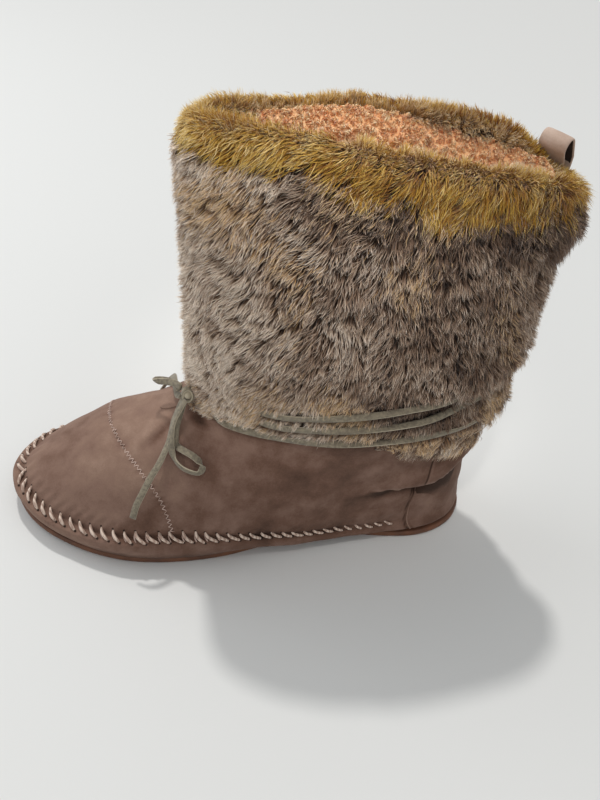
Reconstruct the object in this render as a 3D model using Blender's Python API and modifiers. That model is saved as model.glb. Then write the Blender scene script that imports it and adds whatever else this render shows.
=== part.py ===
"""Moccasin boot for the left foot: suede foot, thin rubber sole and a tall fur shaft.

Units are metres. +X points to the toe, +Y to the wearer's left (the outer side of this
boot) and +Z up. The origin is the middle of the heel's ground contact.
Tables are in millimetres and are turned to metres by MM where they are used.
"""

import math

import bmesh
import bpy
from mathutils import Vector

MM = 0.001

# Driving sizes, in millimetres
SOLE_THICK = 4.5
TOE_SPRING = 3.5
TOE_SPRING_FROM = 158.0
ARCH_RISE = 1.4
ARCH_FROM = 18.0
ARCH_TO = 92.0
WALL = 2.2
INSOLE_THICK = 3.0
SHAFT_WALL = 13.0
SHAFT_RIM_ROUND = 5.5
GAP = 0.3
SOLE_HALF_WIDTH = 46.75
UPPER_HALF_WIDTH = 47.5

TURNS_UPPER = 64
RINGS_UPPER = 17
TURNS_SHAFT = 48
RINGS_SHAFT = 13
SHARP_ANGLE = math.radians(40)
RIM_ANGLE = math.radians(50)
TINY = 1e-6

# Outline of the foot seen from above.
# along, sole outer side, sole inner side, upper outer side, upper inner side
OUTLINE = (
    (228.0, -3.5, 3.5, -3.5, 3.5),
    (225.5, 8.0, 15.0, 8.5, 15.5),
    (220.0, 18.0, 25.5, 18.5, 27.0),
    (211.0, 27.5, 34.5, 28.0, 36.5),
    (199.0, 35.5, 41.5, 36.0, 43.5),
    (184.0, 42.5, 45.5, 43.0, 47.5),
    (165.0, 47.5, 46.0, 48.0, 48.0),
    (140.0, 48.5, 43.0, 49.5, 46.0),
    (115.0, 45.5, 36.5, 48.0, 41.5),
    (95.0, 40.0, 31.0, 45.0, 38.0),
    (70.0, 33.5, 27.5, 41.5, 35.0),
    (45.0, 30.5, 28.0, 38.0, 34.0),
    (20.0, 30.0, 30.0, 34.5, 33.5),
    (0.0, 29.5, 29.5, 31.5, 31.5),
    (-14.0, 25.0, 25.0, 26.5, 26.5),
    (-25.0, 16.5, 16.5, 17.5, 17.5),
    (-29.5, 9.0, 9.0, 9.5, 9.5),
    (-31.5, 0.0, 0.0, 0.0, 0.0),
)

# Height of the whip-stitched rim above the ground, toe spring left out.
# along, height
RIM_HEIGHTS = (
    (-31.5, 14.0),
    (10.0, 11.5),
    (40.0, 10.8),
    (70.0, 12.5),
    (95.0, 16.0),
    (120.0, 19.0),
    (150.0, 19.5),
    (190.0, 16.5),
    (228.0, 14.5),
)
RIM_NOMINAL = 18.0

# Rings of the suede upper from the sole's edge to the ankle, each a closed curve.
# back x, back z, middle z, front z, front x, half width, rim share, bulge, oval
# rim share says how far a ring follows the rim's height away from RIM_NOMINAL
# bulge goes from the sole's outline, 0, to the upper's own, 1
# oval goes from that outline, 0, to an ellipse, 1
UPPER_RINGS = (
    (-29.8, 4.8, 4.8, 4.8, 226.2, 46.6, 0.00, 0.0, 0.00),
    (-31.6, 8.5, 8.5, 8.5, 227.9, 48.0, 0.25, 0.7, 0.00),
    (-31.9, 12.5, 12.0, 12.0, 228.6, 49.2, 0.55, 1.0, 0.00),
    (-31.6, 16.0, 15.5, 15.5, 228.2, 49.0, 0.85, 1.0, 0.00),
    (-31.0, 19.0, 18.0, 18.0, 226.4, 47.4, 1.00, 1.0, 0.00),
    (-30.2, 23.5, 20.5, 21.0, 222.5, 45.4, 1.00, 1.0, 0.03),
    (-29.0, 29.0, 26.0, 29.0, 215.0, 44.2, 0.85, 1.0, 0.08),
    (-27.8, 34.5, 34.0, 39.0, 203.5, 43.2, 0.60, 1.0, 0.17),
    (-26.6, 40.0, 43.0, 48.0, 190.0, 42.4, 0.35, 1.0, 0.30),
    (-25.8, 45.5, 52.0, 55.0, 176.0, 41.2, 0.15, 1.0, 0.46),
    (-25.8, 50.5, 61.0, 62.0, 162.5, 40.6, 0.00, 1.0, 0.64),
    (-26.6, 55.0, 69.5, 69.0, 151.0, 40.2, 0.00, 1.0, 0.80),
    (-28.0, 59.0, 78.0, 76.0, 142.0, 40.0, 0.00, 1.0, 0.92),
    (-29.5, 62.5, 83.3, 81.8, 136.0, 40.0, 0.00, 1.0, 1.00),
)

# Rings of the fur shaft from its hem to the collar, each an oval.
# back x, back z, middle z, front z, front x, half width, sideways shift
SHAFT_RINGS = (
    (-31.5, 63.3, 84.1, 82.6, 136.5, 41.5, 0.0),
    (-32.0, 68.0, 87.5, 87.0, 136.0, 42.0, 0.0),
    (-36.0, 78.0, 93.5, 93.5, 137.5, 42.5, 0.0),
    (-37.0, 90.0, 101.0, 101.0, 139.5, 43.0, 0.0),
    (-34.0, 101.0, 109.0, 109.0, 140.0, 43.0, 0.0),
    (-35.0, 113.0, 119.0, 119.0, 141.0, 43.0, 0.0),
    (-38.0, 128.0, 133.0, 132.0, 142.5, 42.5, -0.5),
    (-37.5, 146.0, 150.0, 148.0, 144.0, 41.5, -1.5),
    (-36.5, 165.0, 169.0, 166.0, 145.5, 40.5, -2.5),
    (-36.0, 184.0, 188.0, 185.0, 147.5, 39.5, -3.5),
    (-35.5, 199.0, 206.0, 203.0, 149.5, 38.0, -4.5),
    (-34.5, 212.0, 221.0, 217.0, 151.0, 36.5, -5.5),
    (-33.0, 221.5, 232.0, 227.0, 151.0, 35.5, -6.0),
)

# Suede thong: three rounds of the ankle, a knot in front, two loops and two free ends
LACE_WIDTH = 4.4
LACE_THICK = 1.5
LACE_CLEARANCE = 0.85
LACE_FIRST_TURN = 0.035
LACE_LAST_TURN = 3.03
LACE_STEPS = 36
LACE_FRONT_LOW = 84.9
LACE_FRONT_CLIMB = 4.9
LACE_BACK_LOW = 88.4
LACE_BACK_CLIMB = 20.0
LACE_BACK_EASE = 1.75
CORD_DIAMETER = 2.4
CORD_STEP = 4.8
KNOT_AT = (141.3, 11.1, 91.0)
KNOT_HALF_SIZE = (3.6, 5.4, 5.5)

# Routes of the thong's free runs, by hand, from the knot outwards
CORD_ROUTES = {
    "lace_end_outer": (
        (141.8, 12.2, 85.2),
        (142.4, 13.0, 81.0),
        (144.3, 14.8, 76.0),
        (145.8, 20.8, 68.8),
        (148.0, 26.6, 63.4),
        (151.0, 31.8, 57.6),
        (154.3, 37.4, 49.6),
        (158.1, 41.8, 41.2),
        (161.6, 44.8, 34.0),
    ),
    "lace_end_inner": (
        (142.2, 7.8, 85.7),
        (142.2, 2.6, 84.2),
        (143.0, -2.6, 82.4),
        (143.2, -8.8, 80.2),
        (143.4, -15.0, 77.6),
        (143.4, -21.4, 74.2),
        (143.6, -27.6, 69.6),
        (144.4, -33.4, 63.4),
        (146.0, -38.4, 55.2),
        (148.4, -42.8, 45.4),
    ),
    "lace_loop_outer": (
        (140.2, 15.6, 86.1),
        (138.6, 18.0, 81.0),
        (140.5, 20.0, 75.0),
        (141.5, 24.5, 69.5),
        (140.5, 30.5, 65.5),
        (136.5, 35.0, 62.5),
        (132.0, 37.5, 63.0),
        (130.0, 37.5, 67.0),
        (132.5, 35.0, 70.5),
        (136.5, 32.0, 72.5),
        (138.5, 28.0, 75.0),
        (139.5, 22.5, 80.0),
        (139.5, 18.8, 85.0),
        (140.5, 17.3, 89.4),
    ),
    "lace_loop_inner": (
        (144.6, 6.7, 89.5),
        (145.2, 1.5, 88.0),
        (147.8, -4.5, 85.2),
        (150.8, -8.6, 82.4),
        (153.4, -9.0, 81.8),
        (154.8, -6.5, 83.8),
        (153.8, -2.5, 87.2),
        (150.8, 1.0, 90.6),
        (147.2, 3.8, 92.8),
        (144.4, 7.6, 94.1),
    ),
}


def clear_scene():
    for old in list(bpy.data.objects):
        bpy.data.objects.remove(old, do_unlink=True)


def collection(name):
    made = bpy.data.collections.new(name)
    bpy.context.scene.collection.children.link(made)
    return made


def material(name, colour, roughness):
    made = bpy.data.materials.new(name)
    made.use_nodes = True
    shader = made.node_tree.nodes["Principled BSDF"]
    shader.inputs["Base Color"].default_value = (*colour, 1.0)
    shader.inputs["Roughness"].default_value = roughness
    shader.inputs["Metallic"].default_value = 0.0
    return made


def smooth_between(stations, values, at):
    """Value at one place of a smooth curve through (station, value) pairs."""
    last = len(stations) - 1
    at = min(max(at, stations[0]), stations[last])
    left = 0
    while left < last - 1 and at > stations[left + 1]:
        left += 1

    def slope(k):
        low = max(k - 1, 0)
        high = min(k + 1, last)
        return (values[high] - values[low]) / (stations[high] - stations[low])

    span = stations[left + 1] - stations[left]
    t = (at - stations[left]) / span
    return (
        (2 * t**3 - 3 * t**2 + 1) * values[left]
        + (t**3 - 2 * t**2 + t) * span * slope(left)
        + (3 * t**2 - 2 * t**3) * values[left + 1]
        + (t**3 - t**2) * span * slope(left + 1)
    )


def table_row(table, level):
    """A row of a ring table at any level from 0 to 1, smooth between its rows."""
    stations = [k / (len(table) - 1) for k in range(len(table))]
    return [
        smooth_between(stations, [row[column] for row in table], level)
        for column in range(len(table[0]))
    ]


TOE_X = OUTLINE[0][0]
HEEL_X = OUTLINE[-1][0]


def outline_turns():
    """The turn, from 0 at the toe to pi at the heel, of each row of the outline."""
    middle = (TOE_X + HEEL_X) / 2
    half = (TOE_X - HEEL_X) / 2
    return [math.acos((row[0] - middle) / half) for row in OUTLINE]


def outline_shape(outer_column, inner_column):
    """Centre line and fullness of one outline, a value for each row.

    Fullness is the half width divided by the sine of the turn, which stays finite and
    smooth where the outline closes at the toe and the heel.
    """
    turns = outline_turns()
    centres = [(row[outer_column] - row[inner_column]) / 2 for row in OUTLINE]
    halves = [(row[outer_column] + row[inner_column]) / 2 for row in OUTLINE]
    fullness = [half / max(math.sin(turn), TINY) for half, turn in zip(halves, turns)]
    fullness[0] = fullness[1]
    fullness[-1] = fullness[-2]
    return turns, centres, fullness


SOLE_SHAPE = outline_shape(outer_column=1, inner_column=2)
UPPER_SHAPE = outline_shape(outer_column=3, inner_column=4)


def outline_at(shape, turn):
    """Centre and half width of an outline at a turn."""
    turns, centres, fullness = shape
    folded = abs(math.remainder(turn, 2 * math.pi))
    centre = smooth_between(turns, centres, folded)
    half = smooth_between(turns, fullness, folded) * math.sin(folded)
    return centre, half


def rim_height(x):
    """Height of the whip-stitched rim at a place along the foot."""
    return smooth_between([row[0] for row in RIM_HEIGHTS], [row[1] for row in RIM_HEIGHTS], x)


def sole_rise(x):
    """Height of the sole's underside above the ground: arch and toe spring."""
    rise = 0.0
    if x > TOE_SPRING_FROM:
        rise = TOE_SPRING * ((x - TOE_SPRING_FROM) / (TOE_X - TOE_SPRING_FROM)) ** 2
    elif ARCH_FROM < x < ARCH_TO:
        share = (x - ARCH_FROM) / (ARCH_TO - ARCH_FROM)
        rise = ARCH_RISE * math.sin(math.pi * share) ** 2
    return rise


def sole_ring(inset, height, count=TURNS_UPPER):
    """One ring around the sole's outline, pulled in by inset, at a height above its underside."""
    middle = (TOE_X + HEEL_X) / 2
    half_length = (TOE_X - HEEL_X) / 2 - inset
    ring = []
    for k in range(count):
        turn = 2 * math.pi * k / count
        centre, half = outline_at(SOLE_SHAPE, turn)
        half *= 1 - inset / SOLE_HALF_WIDTH
        x = middle + half_length * math.cos(turn)
        y = centre + math.copysign(half, math.sin(turn))
        ring.append(Vector((x, y, sole_rise(x) + height)))
    return ring


def three_heights(back, middle, front, share):
    """Height at a share of the length of a ring that bends through three heights."""
    return (
        back * (1 - share) * (1 - 2 * share)
        + middle * 4 * share * (1 - share)
        + front * share * (2 * share - 1)
    )


def upper_point(turn, level):
    """A point on the outside of the upper: turn 0 is the toe, level 0 the sole's edge."""
    row = table_row(UPPER_RINGS, level)
    back_x, back_z, middle_z, front_z, front_x, half_width, rim_share, bulge, oval = row
    share = (1 + math.cos(turn)) / 2
    x = back_x + (front_x - back_x) * share
    sole_centre, sole_half = outline_at(SOLE_SHAPE, turn)
    wall_centre, wall_half = outline_at(UPPER_SHAPE, turn)
    sole_half /= SOLE_HALF_WIDTH
    wall_half /= UPPER_HALF_WIDTH
    centre = sole_centre + (wall_centre - sole_centre) * bulge
    half = sole_half + (wall_half - sole_half) * bulge
    half = half * (1 - oval) + abs(math.sin(turn)) * oval
    y = centre * (1 - oval) + math.copysign(half * half_width, math.sin(turn))
    z = three_heights(back_z, middle_z, front_z, share) + sole_rise(x) * (1 - level)
    z += (rim_height(x) - RIM_NOMINAL) * rim_share
    return Vector((x, y, z))


def shaft_point(turn, level):
    """A point on the outside of the fur shaft: level 0 is the hem, 1 the collar."""
    row = table_row(SHAFT_RINGS, level)
    back_x, back_z, middle_z, front_z, front_x, half_width, shift = row
    share = (1 + math.cos(turn)) / 2
    x = back_x + (front_x - back_x) * share
    y = shift + half_width * math.sin(turn)
    return Vector((x, y, three_heights(back_z, middle_z, front_z, share)))


def outward(surface, turn, level):
    """Unit vector that leaves a surface of turn and level outwards."""
    step = 0.002
    low = max(level - step, 0.0)
    high = min(level + step, 1.0)
    around = surface(turn + step, level) - surface(turn - step, level)
    up = surface(turn, high) - surface(turn, low)
    return around.cross(up).normalized()


def level_at_height(surface, turn, height):
    """The level where a surface passes a height, at one turn."""
    low, high = 0.0, 1.0
    halvings = 30
    for _ in range(halvings):
        middle = (low + high) / 2
        if surface(turn, middle).z < height:
            low = middle
        else:
            high = middle
    return (low + high) / 2


def add_object(name, build, paint, home):
    """Turn what was built into an object with outward faces and smooth shading."""
    bmesh.ops.recalc_face_normals(build, faces=build.faces)
    mesh = bpy.data.meshes.new(name)
    build.to_mesh(mesh)
    build.free()
    mesh.materials.append(paint)
    made = bpy.data.objects.new(name, mesh)
    home.objects.link(made)
    mesh.shade_smooth()
    mesh.set_sharp_from_angle(angle=SHARP_ANGLE)
    return made


def loft(name, rings, paint, home, caps=False):
    """Skin a stack of rings. caps closes both ends by bridging each ring's two sides."""
    build = bmesh.new()
    rows = [[build.verts.new(point * MM) for point in ring] for ring in rings]
    count = len(rings[0])
    for lower, upper in zip(rows, rows[1:]):
        for k in range(count):
            n = (k + 1) % count
            build.faces.new((lower[k], lower[n], upper[n], upper[k]))
    if caps:
        for row, flip in ((rows[0], True), (rows[-1], False)):
            for k in range(count // 2):
                corners = [row[k], row[k + 1], row[-k - 1], row[-k % count]]
                distinct = list(dict.fromkeys(corners))
                if flip:
                    distinct.reverse()
                build.faces.new(distinct)
    return add_object(name, build, paint, home)


def thicken(thing, thickness):
    """Give an open surface a wall, built inwards."""
    wall = thing.modifiers.new("wall", "SOLIDIFY")
    wall.thickness = thickness * MM
    wall.offset = -1
    wall.use_even_offset = False


def two_sided(name, inner, outer, paint, home):
    """A closed plate between two grids of points of the same size."""
    build = bmesh.new()
    inside = [[build.verts.new(point * MM) for point in row] for row in inner]
    outside = [[build.verts.new(point * MM) for point in row] for row in outer]
    rows, columns = len(inner), len(inner[0])
    for r in range(rows - 1):
        for c in range(columns - 1):
            build.faces.new(
                (outside[r][c], outside[r][c + 1], outside[r + 1][c + 1], outside[r + 1][c])
            )
            build.faces.new(
                (inside[r][c], inside[r + 1][c], inside[r + 1][c + 1], inside[r][c + 1])
            )
    edge = (
        [(0, c) for c in range(columns - 1)]
        + [(r, columns - 1) for r in range(rows - 1)]
        + [(rows - 1, c) for c in range(columns - 1, 0, -1)]
        + [(r, 0) for r in range(rows - 1, 0, -1)]
    )
    for (r, c), (next_r, next_c) in zip(edge, edge[1:] + edge[:1]):
        build.faces.new(
            (inside[r][c], inside[next_r][next_c], outside[next_r][next_c], outside[r][c])
        )
    return add_object(name, build, paint, home)


def band(name, path, outs, ups, width, thickness, paint, home):
    """A flat strap along a path: outs point away from what it lies on, ups across it."""
    build = bmesh.new()
    rows = []
    for point, out, up in zip(path, outs, ups):
        corners = ((-1, -0.5), (1, -0.5), (1, 0.5), (-1, 0.5))
        rows.append(
            [
                build.verts.new((point + up * side * width / 2 + out * face * thickness) * MM)
                for side, face in corners
            ]
        )
    for lower, upper in zip(rows, rows[1:]):
        for k in range(4):
            n = (k + 1) % 4
            build.faces.new((lower[k], lower[n], upper[n], upper[k]))
    build.faces.new(rows[0])
    build.faces.new(rows[-1])
    return add_object(name, build, paint, home)


def build_outsole(paint, home):
    """Flat rubber sole, its edge rounded under the foot and eased at the top."""
    tread_inset, chamfer_inset, top_inset = 2.0, 0.8, 1.0
    chamfer_height, side_height = 0.6, 1.6
    lip_inset, lip_drop = 0.2, 0.7
    rings = [
        sole_ring(tread_inset, 0.0),
        sole_ring(chamfer_inset, chamfer_height),
        sole_ring(0.0, side_height),
        sole_ring(lip_inset, SOLE_THICK - lip_drop),
        sole_ring(top_inset, SOLE_THICK),
    ]
    loft("outsole", rings, paint, home, caps=True)


def build_insole(paint, home):
    """Flat insole that lies on the outsole inside the upper's wall."""
    low = SOLE_THICK + GAP
    inset = 2 * WALL
    rings = [
        sole_ring(inset, low),
        sole_ring(inset, low + INSOLE_THICK),
    ]
    loft("insole", rings, paint, home, caps=True)


def surface_rings(surface, ring_count, turn_count):
    """Rings of points read from a surface of turn and level."""
    rings = []
    for r in range(ring_count):
        level = r / (ring_count - 1)
        rings.append([surface(2 * math.pi * k / turn_count, level) for k in range(turn_count)])
    return rings


def build_upper(paint, home):
    """The suede foot: one hollow wall, open at the ankle and under the foot."""
    rings = surface_rings(upper_point, RINGS_UPPER, TURNS_UPPER)
    shell = loft("upper", rings, paint, home)
    thicken(shell, WALL)


def build_heel_counter(paint, home):
    """Heel piece: the upper's own surface behind the heel seams, moved outwards.

    Its top edge rises from the seams to the back, where the ankle part folds over it.
    """
    seam_turn_low, seam_turn_high = 2.34, 2.24
    top_at_seam, top_at_back = 0.69, 0.92
    clearance = 1.8 * GAP
    thickness = 1.2
    rows, columns = 14, 18
    inner, outer = [], []
    for r in range(rows + 1):
        inner_row, outer_row = [], []
        for k in range(columns + 1):
            across = k / columns
            top = top_at_seam + (top_at_back - top_at_seam) * math.sin(math.pi * across)
            level = top * r / rows
            seam_turn = seam_turn_low + (seam_turn_high - seam_turn_low) * r / rows
            turn = seam_turn + (2 * math.pi - 2 * seam_turn) * across
            point = upper_point(turn, level)
            out = outward(upper_point, turn, level)
            out.z = 0.0
            out.normalize()
            inner_row.append(point + out * clearance)
            outer_row.append(point + out * (clearance + thickness))
        inner.append(inner_row)
        outer.append(outer_row)
    two_sided("heel_counter", inner, outer, paint, home)


def build_tongue(paint, home):
    """Round-ended tab on the instep, its width set across the upper's own surface."""
    half_width = 10.5
    centre_y = -6.0
    top_level = 0.965
    end_level = 0.845
    clearance = 0.55
    thickness = 1.6
    tip_roundness = 0.6
    tip_share = 0.12
    rows, columns = 10, 7
    inner, outer = [], []
    for r in range(rows):
        along = r / (rows - 1)
        level = top_level + (end_level - top_level) * math.sin(math.pi / 2 * along)
        taper = math.cos(math.pi / 2 * along) ** tip_roundness
        reach = half_width * max(taper, tip_share)
        ring_half = abs(upper_point(math.pi / 2, level).y)
        inner_row, outer_row = [], []
        for c in range(columns):
            across = centre_y + reach * (2 * c / (columns - 1) - 1)
            turn = math.asin(across / ring_half)
            point = upper_point(turn, level)
            out = outward(upper_point, turn, level)
            inner_row.append(point + out * clearance)
            outer_row.append(point + out * (clearance + thickness))
        inner.append(inner_row)
        outer.append(outer_row)
    two_sided("tongue", inner, outer, paint, home)


def build_shaft(paint, home):
    """The fur shaft: hide, fur and lining as one thick wall with a rounded collar."""
    rings = surface_rings(shaft_point, RINGS_SHAFT, TURNS_SHAFT)
    shell = loft("shaft", rings, paint, home)
    thicken(shell, SHAFT_WALL)
    rim = shell.modifiers.new("rim", "BEVEL")
    rim.width = SHAFT_RIM_ROUND * MM
    rim.segments = 2
    rim.limit_method = "ANGLE"
    rim.angle_limit = RIM_ANGLE


def lace_height(turns):
    """Height of the thong round the ankle: its rounds close up in front and fan out behind."""
    front = LACE_FRONT_LOW + LACE_FRONT_CLIMB * turns
    behind = LACE_BACK_LOW + LACE_BACK_CLIMB * turns - LACE_BACK_EASE * turns**2
    return front + (behind - front) * (1 - math.cos(2 * math.pi * turns)) / 2


def build_lace_wrap(paint, home):
    """Three rounds of a flat thong over the hem of the shaft, one continuous strip."""
    run = LACE_LAST_TURN - LACE_FIRST_TURN
    total = round(LACE_STEPS * run)
    path, outs, ups = [], [], []
    for k in range(total + 1):
        turns = LACE_FIRST_TURN + run * k / total
        turn = 2 * math.pi * turns
        level = level_at_height(shaft_point, turn, lace_height(turns))
        out = outward(shaft_point, turn, level)
        path.append(shaft_point(turn, level) + out * (LACE_THICK / 2 + LACE_CLEARANCE))
        outs.append(out)
    for k, out in enumerate(outs):
        ahead = path[min(k + 1, total)] - path[max(k - 1, 0)]
        ups.append(out.cross(ahead).normalized())
    band("lace_wrap", path, outs, ups, LACE_WIDTH, LACE_THICK, paint, home)


def build_pull_loop(paint, home):
    """Strap folded into a loop that stands on the collar's rim, behind and a little inside."""
    turn = math.radians(204)
    strap_width = 14.0
    strap_thick = 1.4
    gap_inside = 5.0
    rise = 11.5
    foot = shaft_point(turn, 1.0)
    out = Vector((-0.75, -0.66, 0.0)).normalized()
    across = Vector((0.0, 0.0, 1.0)).cross(out)
    base = foot - out * SHAFT_WALL / 2
    base.z = foot.z + 4 * GAP
    radius = (gap_inside + strap_thick) / 2
    path, outs = [base + out * radius], [out]
    arch = 8
    for k in range(arch + 1):
        angle = math.pi * k / arch
        away = out * math.cos(angle) + Vector((0, 0, 1)) * math.sin(angle)
        path.append(base + Vector((0, 0, rise - radius - strap_thick / 2)) + away * radius)
        outs.append(away)
    path.append(base - out * radius)
    outs.append(-out)
    ups = [across] * len(path)
    band("pull_loop", path, outs, ups, strap_width, strap_thick, paint, home)


def smooth_route(points, spacing):
    """Points read from one smooth curve through a short hand-set route."""
    lengths = [0.0]
    for near, far in zip(points, points[1:]):
        lengths.append(lengths[-1] + math.dist(near, far))
    count = max(round(lengths[-1] / spacing), 4)
    return [
        Vector(
            [
                smooth_between(lengths, [point[axis] for point in points], lengths[-1] * k / count)
                for axis in range(3)
            ]
        )
        for k in range(count + 1)
    ]


def build_cord(name, points, paint, home):
    """One free run of the thong as a plain round tube."""
    route = smooth_route(points, CORD_STEP)
    curve = bpy.data.curves.new(name, "CURVE")
    curve.dimensions = "3D"
    curve.bevel_depth = CORD_DIAMETER / 2 * MM
    curve.bevel_resolution = 2
    curve.use_fill_caps = True
    spline = curve.splines.new("POLY")
    spline.points.add(len(route) - 1)
    for slot, point in zip(spline.points, route):
        slot.co = (*(point * MM), 1.0)
    curve.materials.append(paint)
    made = bpy.data.objects.new(name, curve)
    home.objects.link(made)
    return made


def build_knot(paint, home):
    """The knot of the bow, a rounded lump in front of the thong's rounds."""
    build = bmesh.new()
    bmesh.ops.create_uvsphere(build, u_segments=14, v_segments=9, radius=1.0)
    bmesh.ops.scale(build, vec=Vector(KNOT_HALF_SIZE) * MM, verts=build.verts)
    bmesh.ops.translate(build, vec=Vector(KNOT_AT) * MM, verts=build.verts)
    add_object("lace_knot", build, paint, home)


def main():
    clear_scene()
    home = collection("moccasin_boot")
    rubber = material("brown_rubber", (0.13, 0.055, 0.03), 0.6)
    suede = material("taupe_suede", (0.20, 0.13, 0.10), 0.95)
    tab_suede = material("tab_suede", (0.21, 0.14, 0.11), 0.95)
    thong = material("khaki_thong", (0.22, 0.18, 0.13), 0.9)
    fur = material("grey_brown_fur", (0.33, 0.26, 0.20), 0.9)
    felt = material("insole_cloth", (0.55, 0.32, 0.2), 1.0)
    build_outsole(rubber, home)
    build_insole(felt, home)
    build_upper(suede, home)
    build_heel_counter(suede, home)
    build_tongue(tab_suede, home)
    build_shaft(fur, home)
    build_lace_wrap(thong, home)
    build_pull_loop(tab_suede, home)
    build_knot(thong, home)
    for name, points in CORD_ROUTES.items():
        build_cord(name, points, thong, home)


main()
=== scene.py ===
"""Moccasin boot for the left foot: suede foot, whip stitches, tall faux-fur shaft, thong bow.

Laid out as an add-on and run as a script. Tables of sizes are in millimetres and are turned
to metres by MM. +X points to the toe, +Y to the wearer's left, the outer side, and +Z up.
Surfaces are read at a turn, 0 at the toe and pi at the heel, and a level from 0 to 1.
"""

import math

import bmesh
import bpy
import numpy as np
from mathutils import Matrix, Vector, kdtree


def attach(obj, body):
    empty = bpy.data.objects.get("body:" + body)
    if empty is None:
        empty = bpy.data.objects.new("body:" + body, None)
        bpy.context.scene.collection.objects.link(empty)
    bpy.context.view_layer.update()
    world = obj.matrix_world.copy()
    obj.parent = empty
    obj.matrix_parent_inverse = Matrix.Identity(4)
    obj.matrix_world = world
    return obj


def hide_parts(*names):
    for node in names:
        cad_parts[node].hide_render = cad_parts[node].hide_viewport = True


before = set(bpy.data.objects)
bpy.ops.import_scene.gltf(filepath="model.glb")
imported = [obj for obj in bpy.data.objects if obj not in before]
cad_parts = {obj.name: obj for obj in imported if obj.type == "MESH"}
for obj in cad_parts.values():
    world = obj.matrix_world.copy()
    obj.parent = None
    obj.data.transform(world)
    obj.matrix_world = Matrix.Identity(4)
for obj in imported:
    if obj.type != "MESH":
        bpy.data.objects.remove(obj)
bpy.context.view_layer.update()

bl_info = {
    "name": "Moccasin boot",
    "version": (1, 0, 0),
    "blender": (4, 5, 0),
    "location": "3D View > Sidebar > Boot",
    "description": "Makes a suede moccasin boot with a faux-fur shaft, piece by piece",
    "category": "Add Mesh",
}

MM = 0.001
TAU = 2 * math.pi

# Outline of the foot seen from above.
# along, sole outer side, sole inner side, upper outer side, upper inner side
OUTLINE = np.array(
    (
        (228.0, -3.5, 3.5, -3.5, 3.5),
        (225.5, 8.0, 15.0, 8.5, 15.5),
        (220.0, 18.0, 25.5, 18.5, 27.0),
        (211.0, 27.5, 34.5, 28.0, 36.5),
        (199.0, 35.5, 41.5, 36.0, 43.5),
        (184.0, 42.5, 45.5, 43.0, 47.5),
        (165.0, 47.5, 46.0, 48.0, 48.0),
        (140.0, 48.5, 43.0, 49.5, 46.0),
        (115.0, 45.5, 36.5, 48.0, 41.5),
        (95.0, 40.0, 31.0, 45.0, 38.0),
        (70.0, 33.5, 27.5, 41.5, 35.0),
        (45.0, 30.5, 28.0, 38.0, 34.0),
        (20.0, 30.0, 30.0, 34.5, 33.5),
        (0.0, 29.5, 29.5, 31.5, 31.5),
        (-14.0, 25.0, 25.0, 26.5, 26.5),
        (-25.0, 16.5, 16.5, 17.5, 17.5),
        (-29.5, 9.0, 9.0, 9.5, 9.5),
        (-31.5, 0.0, 0.0, 0.0, 0.0),
    )
)
SOLE_HALF_WIDTH = 46.75
UPPER_HALF_WIDTH = 47.5
SOLE_THICK = 4.5
TOE_SPRING = 3.5
TOE_SPRING_FROM = 158.0
ARCH_RISE = 1.4
ARCH_FROM = 18.0
ARCH_TO = 92.0

# Height of the whip-stitched rim above the ground, toe spring left out: along, height
RIM_HEIGHTS = np.array(
    (
        (-31.5, 14.0),
        (10.0, 11.5),
        (40.0, 10.8),
        (70.0, 12.5),
        (95.0, 16.0),
        (120.0, 19.0),
        (150.0, 19.5),
        (190.0, 16.5),
        (228.0, 14.5),
    )
)
RIM_NOMINAL = 18.0

# Rings of the suede upper from the sole's edge to the ankle.
# back x, back z, middle z, front z, front x, half width, rim share, bulge, oval
UPPER_RINGS = np.array(
    (
        (-29.8, 4.8, 4.8, 4.8, 226.2, 46.6, 0.00, 0.0, 0.00),
        (-31.6, 8.5, 8.5, 8.5, 227.9, 48.0, 0.25, 0.7, 0.00),
        (-31.9, 12.5, 12.0, 12.0, 228.6, 49.2, 0.55, 1.0, 0.00),
        (-31.6, 16.0, 15.5, 15.5, 228.2, 49.0, 0.85, 1.0, 0.00),
        (-31.0, 19.0, 18.0, 18.0, 226.4, 47.4, 1.00, 1.0, 0.00),
        (-30.2, 23.5, 20.5, 21.0, 222.5, 45.4, 1.00, 1.0, 0.03),
        (-29.0, 29.0, 26.0, 29.0, 215.0, 44.2, 0.85, 1.0, 0.08),
        (-27.8, 34.5, 34.0, 39.0, 203.5, 43.2, 0.60, 1.0, 0.17),
        (-26.6, 40.0, 43.0, 48.0, 190.0, 42.4, 0.35, 1.0, 0.30),
        (-25.8, 45.5, 52.0, 55.0, 176.0, 41.2, 0.15, 1.0, 0.46),
        (-25.3, 50.5, 61.0, 62.0, 162.5, 40.6, 0.00, 1.0, 0.64),
        (-25.0, 55.0, 69.5, 69.0, 151.0, 40.2, 0.00, 1.0, 0.80),
        (-25.0, 59.0, 78.0, 76.0, 142.0, 40.0, 0.00, 1.0, 0.92),
        (-25.2, 62.5, 83.3, 81.8, 136.0, 40.0, 0.00, 1.0, 1.00),
    )
)

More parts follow.
